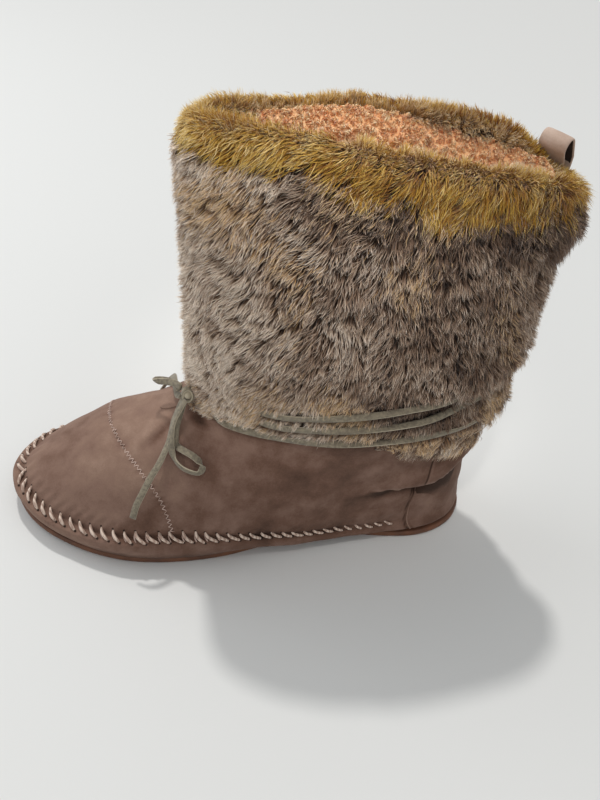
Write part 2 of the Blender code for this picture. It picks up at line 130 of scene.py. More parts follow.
# Rings of the fur shaft from its hem to the collar, each an oval.
# back x, back z, middle z, front z, front x, half width, sideways shift
SHAFT_RINGS = np.array(
    (
        (-26.5, 63.3, 84.1, 82.6, 136.5, 41.0, 0.0),
        (-26.5, 68.0, 87.5, 87.0, 136.0, 42.0, 0.0),
        (-27.5, 80.0, 93.5, 93.5, 137.5, 42.5, 0.0),
        (-37.5, 90.0, 101.0, 101.0, 139.5, 43.0, 0.0),
        (-36.0, 101.0, 109.0, 109.0, 140.0, 43.0, 0.0),
        (-35.0, 113.0, 119.0, 119.0, 141.0, 43.0, 0.0),
        (-38.0, 128.0, 133.0, 132.0, 142.5, 42.5, -0.5),
        (-37.5, 146.0, 150.0, 148.0, 144.0, 41.5, -1.5),
        (-36.5, 165.0, 169.0, 166.0, 145.5, 40.5, -2.5),
        (-36.0, 184.0, 188.0, 185.0, 147.5, 39.5, -3.5),
        (-35.5, 199.0, 206.0, 203.0, 149.5, 38.0, -4.5),
        (-34.5, 212.0, 221.0, 217.0, 151.0, 36.5, -5.5),
        (-33.0, 221.5, 232.0, 227.0, 151.0, 35.5, -6.0),
    )
)

# The thong's rounds of the ankle: first and last turn, then heights in front and behind with
# the climb of each round. KNOT_AT is the middle of the knot.
LACE_FIRST_TURN = 0.035
LACE_LAST_TURN = 3.03
LACE_FRONT_LOW = 84.9
LACE_FRONT_CLIMB = 4.9
LACE_BACK_LOW = 88.4
LACE_BACK_CLIMB = 20.0
LACE_BACK_EASE = 1.75
KNOT_AT = np.array((138.2, 10.6, 92.4))

# Routes of the thong's free runs from the knot outwards, in millimetres.
LACE_ROUTES = {
    "lace_end_outer": (
        (139.8, 10.6, 89.5),
        (141.3, 10.4, 85.0),
        (143.0, 11.9, 79.8),
        (144.6, 14.3, 75.4),
        (145.6, 17.9, 71.7),
        (146.8, 22.1, 68.4),
        (149.0, 26.6, 65.2),
        (151.6, 30.9, 61.4),
        (155.8, 36.0, 56.4),
        (159.4, 40.2, 50.0),
        (162.4, 42.8, 43.2),
        (164.2, 45.0, 35.6),
    ),
    "lace_end_inner": (
        (141.0, 8.4, 88.4),
        (142.6, 3.4, 84.4),
        (143.0, -2.6, 82.4),
        (143.2, -8.8, 80.2),
        (143.4, -15.0, 77.6),
        (143.4, -21.4, 74.2),
        (143.6, -27.6, 69.6),
        (144.4, -33.4, 63.4),
        (146.0, -38.4, 55.2),
        (148.4, -42.8, 45.4),
    ),
    "lace_loop_outer": (
        (139.8, 13.0, 89.5),
        (140.6, 12.6, 84.0),
        (142.4, 14.6, 76.6),
        (143.4, 18.4, 71.4),
        (143.2, 22.8, 67.6),
        (140.2, 27.8, 69.0),
        (135.4, 31.8, 69.2),
        (131.8, 34.6, 67.8),
        (130.0, 36.8, 65.2),
        (131.6, 37.4, 61.8),
        (136.6, 35.8, 61.4),
        (141.2, 33.0, 62.4),
        (144.4, 28.8, 64.8),
        (145.6, 26.2, 69.4),
        (145.6, 22.6, 75.0),
        (144.2, 18.2, 80.6),
        (141.6, 15.8, 86.4),
        (139.4, 14.6, 91.4),
    ),
    "lace_loop_inner": (
        (142.0, 7.2, 91.6),
        (143.4, 1.8, 90.2),
        (146.2, -3.2, 87.8),
        (150.2, -6.6, 85.6),
        (153.4, -7.0, 85.0),
        (154.0, -4.6, 86.2),
        (151.0, -1.6, 88.8),
        (147.4, 1.4, 91.2),
        (144.2, 4.2, 93.0),
        (141.6, 8.0, 94.2),
    ),
}


# The camera: where it stands in millimetres, the way it looks in degrees, and its lens
CAMERA_AT = (163.91, 312.54, 376.23)
CAMERA_AZIMUTH = 164.43
CAMERA_ELEVATION = 42.50
CAMERA_ROLL = 11.71
FOCAL_LENGTH = 36.68
FILM_HEIGHT = 36.0

# How many fibres and curls each kind of pile has beside the shaft's own
COLLAR_FIBRES = 46000
RIM_FIBRES = 24000
ANKLE_FIBRES = 8000
LINING_CURLS = 26000


# ---------------------------------------------------------------- shapes


def smooth_between(stations, values, at):
    """Values at many places of a smooth curve through (station, value) pairs."""
    last = len(stations) - 1
    at = np.clip(at, stations[0], stations[-1])
    left = np.clip(np.searchsorted(stations, at, side="right") - 1, 0, last - 1)
    high = np.minimum(np.arange(last + 1) + 1, last)
    low = np.maximum(np.arange(last + 1) - 1, 0)
    slopes = (values[high] - values[low]) / (stations[high] - stations[low])
    span = stations[left + 1] - stations[left]
    t = (at - stations[left]) / span
    return (
        (2 * t**3 - 3 * t**2 + 1) * values[left]
        + (t**3 - 2 * t**2 + t) * span * slopes[left]
        + (3 * t**2 - 2 * t**3) * values[left + 1]
        + (t**3 - t**2) * span * slopes[left + 1]
    )


def look_up(table, at, period=None):
    """Values of a two-column table at many places, straight from one row to the next."""
    return np.interp(at, table[:, 0], table[:, 1], period=period)


def ring_values(table, level):
    """The columns of a ring table at many levels from 0 to 1."""
    stations = np.linspace(0, 1, len(table))
    return [smooth_between(stations, column, level) for column in table.T]


TOE_X = OUTLINE[0, 0]
HEEL_X = OUTLINE[-1, 0]
OUTLINE_TURNS = np.arccos((OUTLINE[:, 0] - (TOE_X + HEEL_X) / 2) / ((TOE_X - HEEL_X) / 2))


def outline_at(outer_column, inner_column, turn):
    """Centre and half width of one of the foot's outlines at many turns."""
    centres = (OUTLINE[:, outer_column] - OUTLINE[:, inner_column]) / 2
    halves = (OUTLINE[:, outer_column] + OUTLINE[:, inner_column]) / 2
    fullness = halves[1:-1] / np.sin(OUTLINE_TURNS[1:-1])
    fullness = np.concatenate((fullness[:1], fullness, fullness[-1:]))
    folded = from_toe(turn)
    half = smooth_between(OUTLINE_TURNS, fullness, folded) * np.sin(folded)
    return smooth_between(OUTLINE_TURNS, centres, folded), half


def sole_rise(x):
    """Height of the sole's underside above the ground: arch and toe spring."""
    spring = TOE_SPRING * (np.maximum(x - TOE_SPRING_FROM, 0) / (TOE_X - TOE_SPRING_FROM)) ** 2
    share = np.clip((x - ARCH_FROM) / (ARCH_TO - ARCH_FROM), 0, 1)
    return spring + ARCH_RISE * np.sin(math.pi * share) ** 2


def three_heights(back, middle, front, share):
    """Height at a share of the length of a ring that bends through three heights."""
    return (
        back * (1 - share) * (1 - 2 * share)
        + middle * 4 * share * (1 - share)
        + front * share * (2 * share - 1)
    )


def upper_points(turn, level):
    """Points on the outside of the plain upper."""
    back_x, back_z, middle_z, front_z, front_x, half_width, rim_share, bulge, oval = ring_values(
        UPPER_RINGS, level
    )
    share = (1 + np.cos(turn)) / 2
    x = back_x + (front_x - back_x) * share
    sole_centre, sole_half = outline_at(1, 2, turn)
    wall_centre, wall_half = outline_at(3, 4, turn)
    sole_half = sole_half / SOLE_HALF_WIDTH
    wall_half = wall_half / UPPER_HALF_WIDTH
    centre = sole_centre + (wall_centre - sole_centre) * bulge
    half = sole_half + (wall_half - sole_half) * bulge
    half = half * (1 - oval) + np.abs(np.sin(turn)) * oval
    y = centre * (1 - oval) + half * half_width * np.sign(np.sin(turn))
    z = three_heights(back_z, middle_z, front_z, share) + sole_rise(x) * (1 - level)
    rim = smooth_between(RIM_HEIGHTS[:, 0], RIM_HEIGHTS[:, 1], x)
    z = z + (rim - RIM_NOMINAL) * rim_share
    return np.stack((x, y, z), axis=-1)


def shaft_points(turn, level):
    """Points on the outside of the fur shaft."""
    back_x, back_z, middle_z, front_z, front_x, half_width, shift = ring_values(
        SHAFT_RINGS, level
    )
    share = (1 + np.cos(turn)) / 2
    x = back_x + (front_x - back_x) * share
    y = shift + half_width * np.sin(turn)
    return np.stack((x, y, three_heights(back_z, middle_z, front_z, share)), axis=-1)


def unit(vectors):
    """Vectors turned to length one."""
    return vectors / np.maximum(np.linalg.norm(vectors, axis=-1, keepdims=True), 1e-9)


def directions(surface, turn, level):
    """Unit vectors around, up and out of a surface of turn and level."""
    step = 0.002
    around = surface(turn + step, level) - surface(turn - step, level)
    up = surface(turn, np.minimum(level + step, 1)) - surface(turn, np.maximum(level - step, 0))
    out = unit(np.cross(around, up))
    around = unit(around)
    return around, np.cross(out, around), out


def outward(surface, turn, level):
    """Unit vectors straight out of a surface of turn and level."""
    return directions(surface, turn, level)[2]


def from_toe(turn):
    """How far turns are from the toe, 0 to pi, whichever way round."""
    return np.abs((turn + math.pi) % TAU - math.pi)


def ease(low, high, value):
    """0 below low, 1 above high and a smooth rise between them."""
    share = np.clip((value - low) / (high - low), 0, 1)
    return share * share * (3 - 2 * share)


def hump(value, middle, width):
    """A smooth hump: 1 at its middle, a third one width away and almost 0 past two."""
    return np.exp(-(((value - middle) / width) ** 2))


def waviness(points, size, seed):
    """Smooth random values about 0, near -1 to 1, that change over a size in millimetres."""
    rng = np.random.default_rng(seed)
    waves = 9
    total = np.zeros(points.shape[:-1])
    for _ in range(waves):
        heading = unit(rng.normal(size=3)) * TAU / (size * rng.uniform(1.4, 3.0))
        total += np.sin(points @ heading + rng.uniform(0, TAU))
    return total / math.sqrt(waves) * 1.2


def walked_along(points):
    """Distance walked to each point of a line."""
    steps = np.linalg.norm(np.diff(points, axis=0), axis=1)
    return np.concatenate(((0,), np.cumsum(steps)))


def turns_by_distance(surface, level, count=720):
    """Turns from 0 to a full turn and the distance walked to each round one ring."""
    turns = np.linspace(0, TAU, count + 1)
    return turns, walked_along(surface(turns, np.full_like(turns, level)))


def level_at_height(surface, turn, height):
    """The levels where a surface passes given heights at given turns."""
    low = np.zeros_like(turn)
    high = np.ones_like(turn)
    halvings = 26
    for _ in range(halvings):
        middle = (low + high) / 2
        below = surface(turn, middle)[..., 2] < height
        low = np.where(below, middle, low)
        high = np.where(below, high, middle)
    return (low + high) / 2


# ---------------------------------------------------------------- mesh helpers


def keep(name, build, look, node_names=()):
    """Turn a bmesh into a piece of the boot."""
    mesh = bpy.data.meshes.new(name)
    build.to_mesh(mesh)
    build.free()
    return keep_mesh(name, mesh, look, node_names)


def keep_mesh(name, mesh, look, node_names=()):
    """Turn a mesh into a piece of the boot that rides on it and may stand for CAD nodes.

    look is the name of its finish.
    """
    mesh.materials.append(finish(look))
    mesh.shade_smooth()
    piece = bpy.data.objects.new(name, mesh)
    bpy.context.scene.collection.objects.link(piece)
    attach(piece, "root")
    if node_names:
        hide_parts(*node_names)
    return piece


def add_grid(build, columns, rows, shape, closed, nap_and_painted_light=None):
    """A grid shaped by shape(across, along), both from 0 to 1; closed joins its two sides."""
    layer = build.loops.layers.uv.verify()
    # Each corner may carry a value of painted light and shade, with a little random nap tone, that
    # the suede's colour reads
    if nap_and_painted_light:
        tone = build.verts.layers.float.new("nap_and_painted_light")
    made = bmesh.ops.create_grid(build, x_segments=columns, y_segments=rows, size=0.5)
    corners = made["verts"]
    place = np.array([corner.co[:2] for corner in corners]) + 0.5
    where = dict(zip(corners, place))
    for face in {face for corner in corners for face in corner.link_faces}:
        for loop in face.loops:
            loop[layer].uv = where[loop.vert]
    if nap_and_painted_light:
        for corner, value in zip(corners, nap_and_painted_light(place[:, 0], place[:, 1])):
            corner[tone] = value
    for corner, point in zip(corners, shape(place[:, 0], place[:, 1]) * MM):
        corner.co = point
    if closed:
        bmesh.ops.remove_doubles(build, verts=corners, dist=1e-6)


def grid_piece(
    name, columns, rows, shape, look, node_names=(), closed=False, wall=0.0, nap_and_painted_light=None
):
    """A piece made of one shaped grid, with a wall built inwards if wall is not 0."""
    build = bmesh.new()
    add_grid(build, columns, rows, shape, closed, nap_and_painted_light)
    bmesh.ops.recalc_face_normals(build, faces=build.faces)
    piece = keep(name, build, look, node_names)
    if wall:
        solid = piece.modifiers.new("wall", "SOLIDIFY")
        solid.thickness = wall * MM
        solid.offset = -1
        solid.use_even_offset = False
    return piece


def smooth_route(points, spacing):
    """Points read from one smooth curve through a short given route."""
    points = np.array(points)
    lengths = walked_along(points)
    count = max(round(lengths[-1] / spacing), 4)
    at = np.linspace(0, lengths[-1], count + 1)
    return np.stack([smooth_between(lengths, column, at) for column in points.T], axis=-1)


def add_strap(build, route, facing, width, thick, closed_ends=True, sides=12):
    """A flat strap along a route; facing says where its flat side looks at each point."""
    heading = unit(np.gradient(route, axis=0))
    side = unit(np.cross(heading, facing))
    out = np.cross(side, heading)
    count = len(route) - 1
    # Powers under 1 square off the round section, most of all at its two edges
    edge_power, face_power = 0.45, 0.7

    def shape(across, along):
        row = np.rint(along * count).astype(int)
        angle = across * TAU
        flat = np.sign(np.cos(angle)) * np.abs(np.cos(angle)) ** edge_power
        deep = np.sign(np.sin(angle)) * np.abs(np.sin(angle)) ** face_power
        return (
            route[row]
            + side[row] * (flat * width / 2)[:, None]
            + out[row] * (deep * thick / 2)[:, None]
        )

    add_grid(build, sides, count, shape, closed=True)
    if closed_ends:
        rim = [edge for edge in build.edges if edge.is_boundary]
        bmesh.ops.holes_fill(build, edges=rim, sides=sides + 1)


def strap_piece(name, route, facing, width, thick, look, node_names=()):
    """One strap as a piece."""
    build = bmesh.new()
    add_strap(build, route, facing, width, thick)
    bmesh.ops.recalc_face_normals(build, faces=build.faces)
    return keep(name, build, look, node_names)


def strands_piece(name, rows, side, tone, look):
    """Many tapering strands of hair as one mesh.

    rows holds the root, middle and tip of every strand, side the half width vector of each.
    The map gives a strand's tone across and the way from root to tip along.
    """
    root, middle, tip = rows
    count, corners_each = len(root), 5
    corners = np.stack(
        (root - side, root + side, middle - side * 0.8, middle + side * 0.8, tip), axis=1
    )
    fan = np.array(((0, 1, 3), (0, 3, 2), (2, 3, 4)))
    faces = (np.arange(count)[:, None, None] * corners_each + fan).reshape(-1, 3)
    mesh = bpy.data.meshes.new(name)
    mesh.vertices.add(count * corners_each)
    mesh.vertices.foreach_set("co", (corners * MM).astype(np.float32).ravel())
    mesh.loops.add(len(faces) * 3)
    mesh.loops.foreach_set("vertex_index", faces.astype(np.int32).ravel())
    mesh.polygons.add(len(faces))
    mesh.polygons.foreach_set("loop_start", np.arange(0, len(faces) * 3, 3, dtype=np.int32))
    mesh.update(calc_edges=True)
    half_tone = 0.008
    tone = half_tone + np.clip(tone, 0, 1) * (1 - 2 * half_tone)
    across = tone[:, None] + np.array((-1, 1, -1, 1, 0)) * half_tone
    along = np.broadcast_to(np.array((0.02, 0.02, 0.5, 0.5, 0.98)), (count, corners_each))
    places = np.stack((across, along), axis=-1).reshape(-1, 2)
    layer = mesh.uv_layers.new(name="OFBake")
    layer.data.foreach_set("uv", places[faces.ravel()].astype(np.float32).ravel())
    return keep_mesh(name, mesh, look)


# ---------------------------------------------------------------- finishes


def hex_colour(text):
    """An sRGB hex colour as linear red, green, blue and alpha."""
    parts = [int(text[k : k + 2], 16) / 255 for k in (0, 2, 4)]
    linear = [
        part / 12.92 if part <= 0.04045 else ((part + 0.055) / 1.055) ** 2.4 for part in parts
    ]
    return (*linear, 1.0)


def set_inputs(tree, node, inputs):
    """Give a node's inputs their values, or link them to the sockets given."""
    for socket, value in inputs.items():
        if isinstance(value, bpy.types.NodeSocket):
            tree.links.new(value, node.inputs[socket])
        else:
            node.inputs[socket].default_value = value


def add(tree, kind, settings=None, inputs=None, stops=None):
    """Add one node: its own settings, its inputs as values or sockets, and any colour stops."""
    node = tree.nodes.new(kind)
    for field, value in (settings or {}).items():
        setattr(node, field, value)
    set_inputs(tree, node, inputs or {})
    if stops:
        ramp = node.color_ramp
        ramp.elements[0].position, ramp.elements[0].color = stops[0]
        ramp.elements[1].position, ramp.elements[1].color = stops[-1]
        for position, colour in stops[1:-1]:
            ramp.elements.new(position).color = colour
    return node


def shades(*pairs):
    """Colour stops from (position, sRGB hex) pairs."""
    return [(position, hex_colour(text)) for position, text in pairs]


def new_finish(name):
    """A new material, its node tree and its shader."""
    made = bpy.data.materials.new(name)
    made.use_nodes = True
    return made, made.node_tree, made.node_tree.nodes["Principled BSDF"]


def per_mm(millimetres):
    """Scale of a noise whose features are about this size, on coordinates in metres."""
    return 1 / (millimetres * MM)


def make_suede(name, tones, sheen):
    """Split leather sanded to a nap: dull, soft and cloudy, darker or paler where shade or light
    is painted into it.
    """
    made, tree, shader = new_finish(name)
    place = add(tree, "ShaderNodeTexCoord").outputs["Object"]
    patches, clouds, nap = (
        add(tree, "ShaderNodeTexNoise", inputs={"Vector": place, "Scale": per_mm(size), **more})
        for size, more in (
            (34, {"Detail": 2.0, "Distortion": 0.6}),
            (9, {"Detail": 4.0, "Roughness": 0.6}),
            (0.9, {"Detail": 3.0, "Roughness": 0.7}),
        )
    )
    broad = add(
        tree,
        "ShaderNodeMix",
        {"data_type": "FLOAT"},
        {0: 0.45, 2: patches.outputs["Fac"], 3: clouds.outputs["Fac"]},
    )
    tone = add(
        tree,
        "ShaderNodeMix",
        {"data_type": "FLOAT"},
        {0: 0.16, 2: broad.outputs[0], 3: nap.outputs["Fac"]},
    )
    # Painted light and shade, with a little random nap tone, read from each corner of the piece
    nap_and_light_read = add(tree, "ShaderNodeAttribute", {"attribute_name": "nap_and_painted_light"})
    shown = add(
        tree,
        "ShaderNodeMath",
        {"operation": "ADD"},
        {0: tone.outputs[0], 1: nap_and_light_read.outputs["Fac"]},
    )
    colour = add(
        tree, "ShaderNodeValToRGB", inputs={"Fac": shown.outputs[0]}, stops=shades(*tones)
    )
    bump = add(
        tree,
        "ShaderNodeBump",
        inputs={"Strength": 0.35, "Distance": 0.0004, "Height": nap.outputs["Fac"]},
    )
    set_inputs(
        tree,
        shader,
        {
            "Base Color": colour.outputs["Color"],
            "Normal": bump.outputs["Normal"],
            "Roughness": 0.95,
            "Specular IOR Level": 0.2,
            "Sheen Weight": sheen,
            "Sheen Roughness": 0.45,
            "Sheen Tint": hex_colour("E8D6C8"),
        },
    )
    return made


def make_rubber(name):
    """Moulded crepe-like rubber: even reddish brown, faintly pebbled, a soft broad shine."""
    made, tree, shader = new_finish(name)
    place = add(tree, "ShaderNodeTexCoord").outputs["Object"]
    cloud, grain = (
        add(
            tree,
            "ShaderNodeTexNoise",
            inputs={"Vector": place, "Scale": per_mm(size), "Detail": detail},
        )
        for size, detail in ((12, 3.0), (0.8, 2.0))
    )
    colour = add(
        tree,
        "ShaderNodeValToRGB",
        inputs={"Fac": cloud.outputs["Fac"]},
        stops=shades((0.35, "5A3826"), (0.65, "74492F")),
    )
    bump = add(
        tree,
        "ShaderNodeBump",
        inputs={"Strength": 0.3, "Distance": 0.0003, "Height": grain.outputs["Fac"]},
    )
    look = {"Base Color": colour.outputs["Color"], "Normal": bump.outputs["Normal"]}
    set_inputs(tree, shader, {**look, "Roughness": 0.6})
    return made


def make_thread(name, dark, light):
    """Waxed braided thread: pale, slightly shiny, with the fine diagonal lie of its plies."""
    made, tree, shader = new_finish(name)
    place = add(tree, "ShaderNodeTexCoord")
    plies = add(
        tree,
        "ShaderNodeTexWave",
        {"bands_direction": "DIAGONAL"},
        {"Vector": place.outputs["Object"], "Scale": per_mm(5), "Distortion": 1.5, "Detail": 2.0},
    )
    colour = add(
        tree,
        "ShaderNodeValToRGB",
        inputs={"Fac": plies.outputs["Fac"]},
        stops=shades((0.1, dark), (0.9, light)),
    )
    bump = add(
        tree,
        "ShaderNodeBump",
        inputs={"Strength": 0.4, "Distance": 0.0003, "Height": plies.outputs["Fac"]},
    )
    look = {"Base Color": colour.outputs["Color"], "Normal": bump.outputs["Normal"]}
    set_inputs(tree, shader, {**look, "Roughness": 0.6, "Sheen Weight": 0.2})
    return made


def make_thong(name, face, face_light, edge):
    """Cut suede lacing: khaki nap on the flat sides and paler, raw cut edges."""
    made, tree, shader = new_finish(name)
    place = add(tree, "ShaderNodeTexCoord")
    nap = add(
        tree,
        "ShaderNodeTexNoise",
        inputs={"Vector": place.outputs["Object"], "Scale": per_mm(1.6), "Detail": 4.0},
    )
    colour = add(
        tree,
        "ShaderNodeValToRGB",
        inputs={"Fac": nap.outputs["Fac"]},
        stops=shades((0.35, face), (0.65, face_light)),
    )
    around = add(tree, "ShaderNodeSeparateXYZ", inputs={"Vector": place.outputs["UV"]})
    swing = add(
        tree,
        "ShaderNodeMath",
        {"operation": "MULTIPLY"},
        {0: around.outputs["X"], 1: TAU},
    )
    flat = add(tree, "ShaderNodeMath", {"operation": "COSINE"}, {0: swing.outputs[0]})
    edge_share = add(tree, "ShaderNodeMath", {"operation": "ABSOLUTE"}, {0: flat.outputs[0]})
    edge_ramp = add(
        tree,
        "ShaderNodeValToRGB",
        inputs={"Fac": edge_share.outputs[0]},
        stops=[(0.9, (0, 0, 0, 1)), (0.97, (1, 1, 1, 1))],
    )
    both = add(
        tree,
        "ShaderNodeMix",
        {"data_type": "RGBA"},
        {0: edge_ramp.outputs["Color"], 6: colour.outputs["Color"], 7: hex_colour(edge)},
    )
    bump = add(
        tree,
        "ShaderNodeBump",
        inputs={"Strength": 0.3, "Distance": 0.0003, "Height": nap.outputs["Fac"]},
    )
    look = {"Base Color": both.outputs[2], "Normal": bump.outputs["Normal"]}
    set_inputs(tree, shader, {**look, "Roughness": 0.9, "Sheen Weight": 0.2})
    return made


def make_fur(name, tones, depth, sheen):
    """Acrylic pile: each fibre has its own tone and is darkened toward its root by painted shade,
    in the ochre band partly its own darker dyed roots.
    """
    made, tree, shader = new_finish(name)
    place = add(tree, "ShaderNodeUVMap", {"uv_map": "OFBake"})
    parts = add(tree, "ShaderNodeSeparateXYZ", inputs={"Vector": place.outputs["UV"]})
    # Across the map each fibre's own tone, along it painted shade that deepens toward the root
    tone, shade = (
        add(tree, "ShaderNodeValToRGB", inputs={"Fac": parts.outputs[axis]}, stops=shades(*stops))
        for axis, stops in (("X", tones), ("Y", depth))
    )
    colour = add(
        tree,
        "ShaderNodeMix",
        {"data_type": "RGBA", "blend_type": "MULTIPLY"},
        {0: 1.0, 6: tone.outputs["Color"], 7: shade.outputs["Color"]},
    )
    set_inputs(
        tree,
        shader,
        {
            "Base Color": colour.outputs[2],
            "Roughness": 0.7,
            "Specular IOR Level": 0.25,
            "Sheen Weight": sheen,
            "Sheen Roughness": 0.6,
        },
    )
    return made


def make_matt_backing_and_shade(name, dark, light):
    """Knitted backing between fibres, or a dark sheet of painted shade in holes and in the pull
    loop: quite matt and a little uneven.
    """
    made, tree, shader = new_finish(name)
    place = add(tree, "ShaderNodeTexCoord").outputs["Object"]
    knit = add(
        tree,
        "ShaderNodeTexNoise",
        inputs={"Vector": place, "Scale": per_mm(3), "Detail": 3.0},
    )
    colour = add(
        tree,
        "ShaderNodeValToRGB",
        inputs={"Fac": knit.outputs["Fac"]},
        stops=shades((0.35, dark), (0.65, light)),
    )
    set_inputs(tree, shader, {"Base Color": colour.outputs["Color"], "Roughness": 1.0})
    return made


TAUPE_TONES = (
    (0.04, "3A281F"),
    (0.30, "6B5043"),
    (0.44, "82675A"),
    (0.54, "8B7061"),
    (0.66, "9A7F6F"),
    (0.90, "B39B8B"),
)
TAB_TONES = ((0.34, "A48B7C"), (0.44, "B69D8D"), (0.54, "C2AA9A"), (0.66, "D3BDAF"))

GREY_BROWN_TONES = (
    (0.0, "7A6250"),
    (0.25, "AC9480"),
    (0.5, "DCCBBA"),
    (0.8, "FFF8EE"),
    (1.0, "EAC68A"),
)
GREY_BROWN_ROOT_SHADE = ((0.0, "40291C"), (0.35, "8E7764"), (0.62, "E0D4C8"), (1.0, "FFFFFF"))
OCHRE_TONES = (
    (0.0, "865A16"),
    (0.2, "B6842A"),
    (0.4, "CEA83E"),
    (0.6, "E4C872"),
    (0.85, "FCEECA"),
    (1.0, "ECDCD0"),
)
OCHRE_ROOT_DYE_AND_SHADE = ((0.0, "6E5014"), (0.35, "BC9850"), (0.7, "F2E6C2"), (1.0, "FFFFFF"))
SHERPA_TONES = ((0.0, "F8C088"), (0.5, "FFE2B0"), (1.0, "FFFAE0"))
SHERPA_ROOT_SHADE = ((0.0, "E0A880"), (0.45, "FCEAD6"), (1.0, "FFFFFF"))

# Each finish: the function that makes it and its colours and sheen
FINISHES = {
    "taupe_nap_suede": (make_suede, TAUPE_TONES, 0.12),
    "pinkish_tab_suede": (make_suede, TAB_TONES, 0.2),
    "dark_stretched_suede": (make_matt_backing_and_shade, "2E2019", "3C2B22"),
    "brown_moulded_rubber": (make_rubber,),
    "beige_waxed_thread": (make_thread, "AC9080", "DCC6B5"),
    "taupe_seam_thread": (make_thread, "A08476", "CBB0A3"),
    "khaki_suede_lacing": (make_thong, "6C6354", "8A806C", "AA9F89"),
    "grey_brown_acrylic_pile": (make_fur, GREY_BROWN_TONES, GREY_BROWN_ROOT_SHADE, 0.3),
    "ochre_acrylic_pile": (make_fur, OCHRE_TONES, OCHRE_ROOT_DYE_AND_SHADE, 0.3),
    "peach_sherpa_pile": (make_fur, SHERPA_TONES, SHERPA_ROOT_SHADE, 0.6),
    "dark_knit_backing": (make_matt_backing_and_shade, "3A2E26", "5A4A3E"),
    "peach_knit_backing": (make_matt_backing_and_shade, "F4BC88", "FFDAAA"),
}


def finish(name):
    """The material of this name, made the first time it is asked for."""
    maker, *looks = FINISHES[name]
    return bpy.data.materials.get(name) or maker(name, *looks)


# ---------------------------------------------------------------- settings


class BootSettings(bpy.types.PropertyGroup):
    """Sizes and colours of the boot that a user would change."""

    stitch_pitch: bpy.props.FloatProperty(
        name="Whip stitch pitch",
        description="Distance from one whip stitch to the next",
        default=0.0062,
        min=0.003,
        unit="LENGTH",
    )
    thread_size: bpy.props.FloatProperty(
        name="Whip thread size",
        description="Thickness of the whip-stitch thread",
        default=0.00185,
        min=0.0004,
        unit="LENGTH",
    )
    thong_width: bpy.props.FloatProperty(
        name="Thong width",
        description="Width of the flat suede lacing",
        default=0.0036,
        min=0.002,
        unit="LENGTH",
    )
    thong_thickness: bpy.props.FloatProperty(
        name="Thong thickness",
        description="Thickness of the flat suede lacing",
        default=0.0013,
        min=0.0005,
        unit="LENGTH",
    )
    pile_length: bpy.props.FloatProperty(
        name="Pile length",
        description="Length of the fur's fibres along the shaft",
        default=0.0088,
        min=0.004,
        unit="LENGTH",
    )
    fibre_width: bpy.props.FloatProperty(
        name="Fibre width",
        description="Width of a fibre at its root, drawn coarser than real so that it shows",
        default=0.00042,
        min=0.0001,
        unit="LENGTH",
    )
    fibre_count: bpy.props.IntProperty(
        name="Fibres on the shaft",
        description="Number of fibres on the shaft without its collar",
        default=150000,
        min=1000,
    )
    floor_colour: bpy.props.FloatVectorProperty(
        name="Floor colour",
        description="Colour of the pale floor",
        subtype="COLOR",
        size=3,
        default=hex_colour("E6E6E4")[:3],
    )
    key_strength: bpy.props.FloatProperty(
        name="Key light",
        description="Strength of the main light",
        default=1.15,
        min=0.0,
    )
    window_power: bpy.props.FloatProperty(
        name="Window light",
        description="Power of the broad light in front of the toe, in watts",
        default=3.2,
        min=0.0,
    )
    lamp_power: bpy.props.FloatProperty(
        name="Shaft lamp",
        description="Power of the narrow lamp over the shaft and its opening, in watts",
        default=11.2,
        min=0.0,
    )
    fill_strength: bpy.props.FloatProperty(
        name="Fill light",
        description="Strength of the even light all round",
        default=0.54,
        min=0.0,
    )


def settings():
    """The scene's boot settings."""
    return bpy.context.scene.boot_settings


# ---------------------------------------------------------------- stage and cords


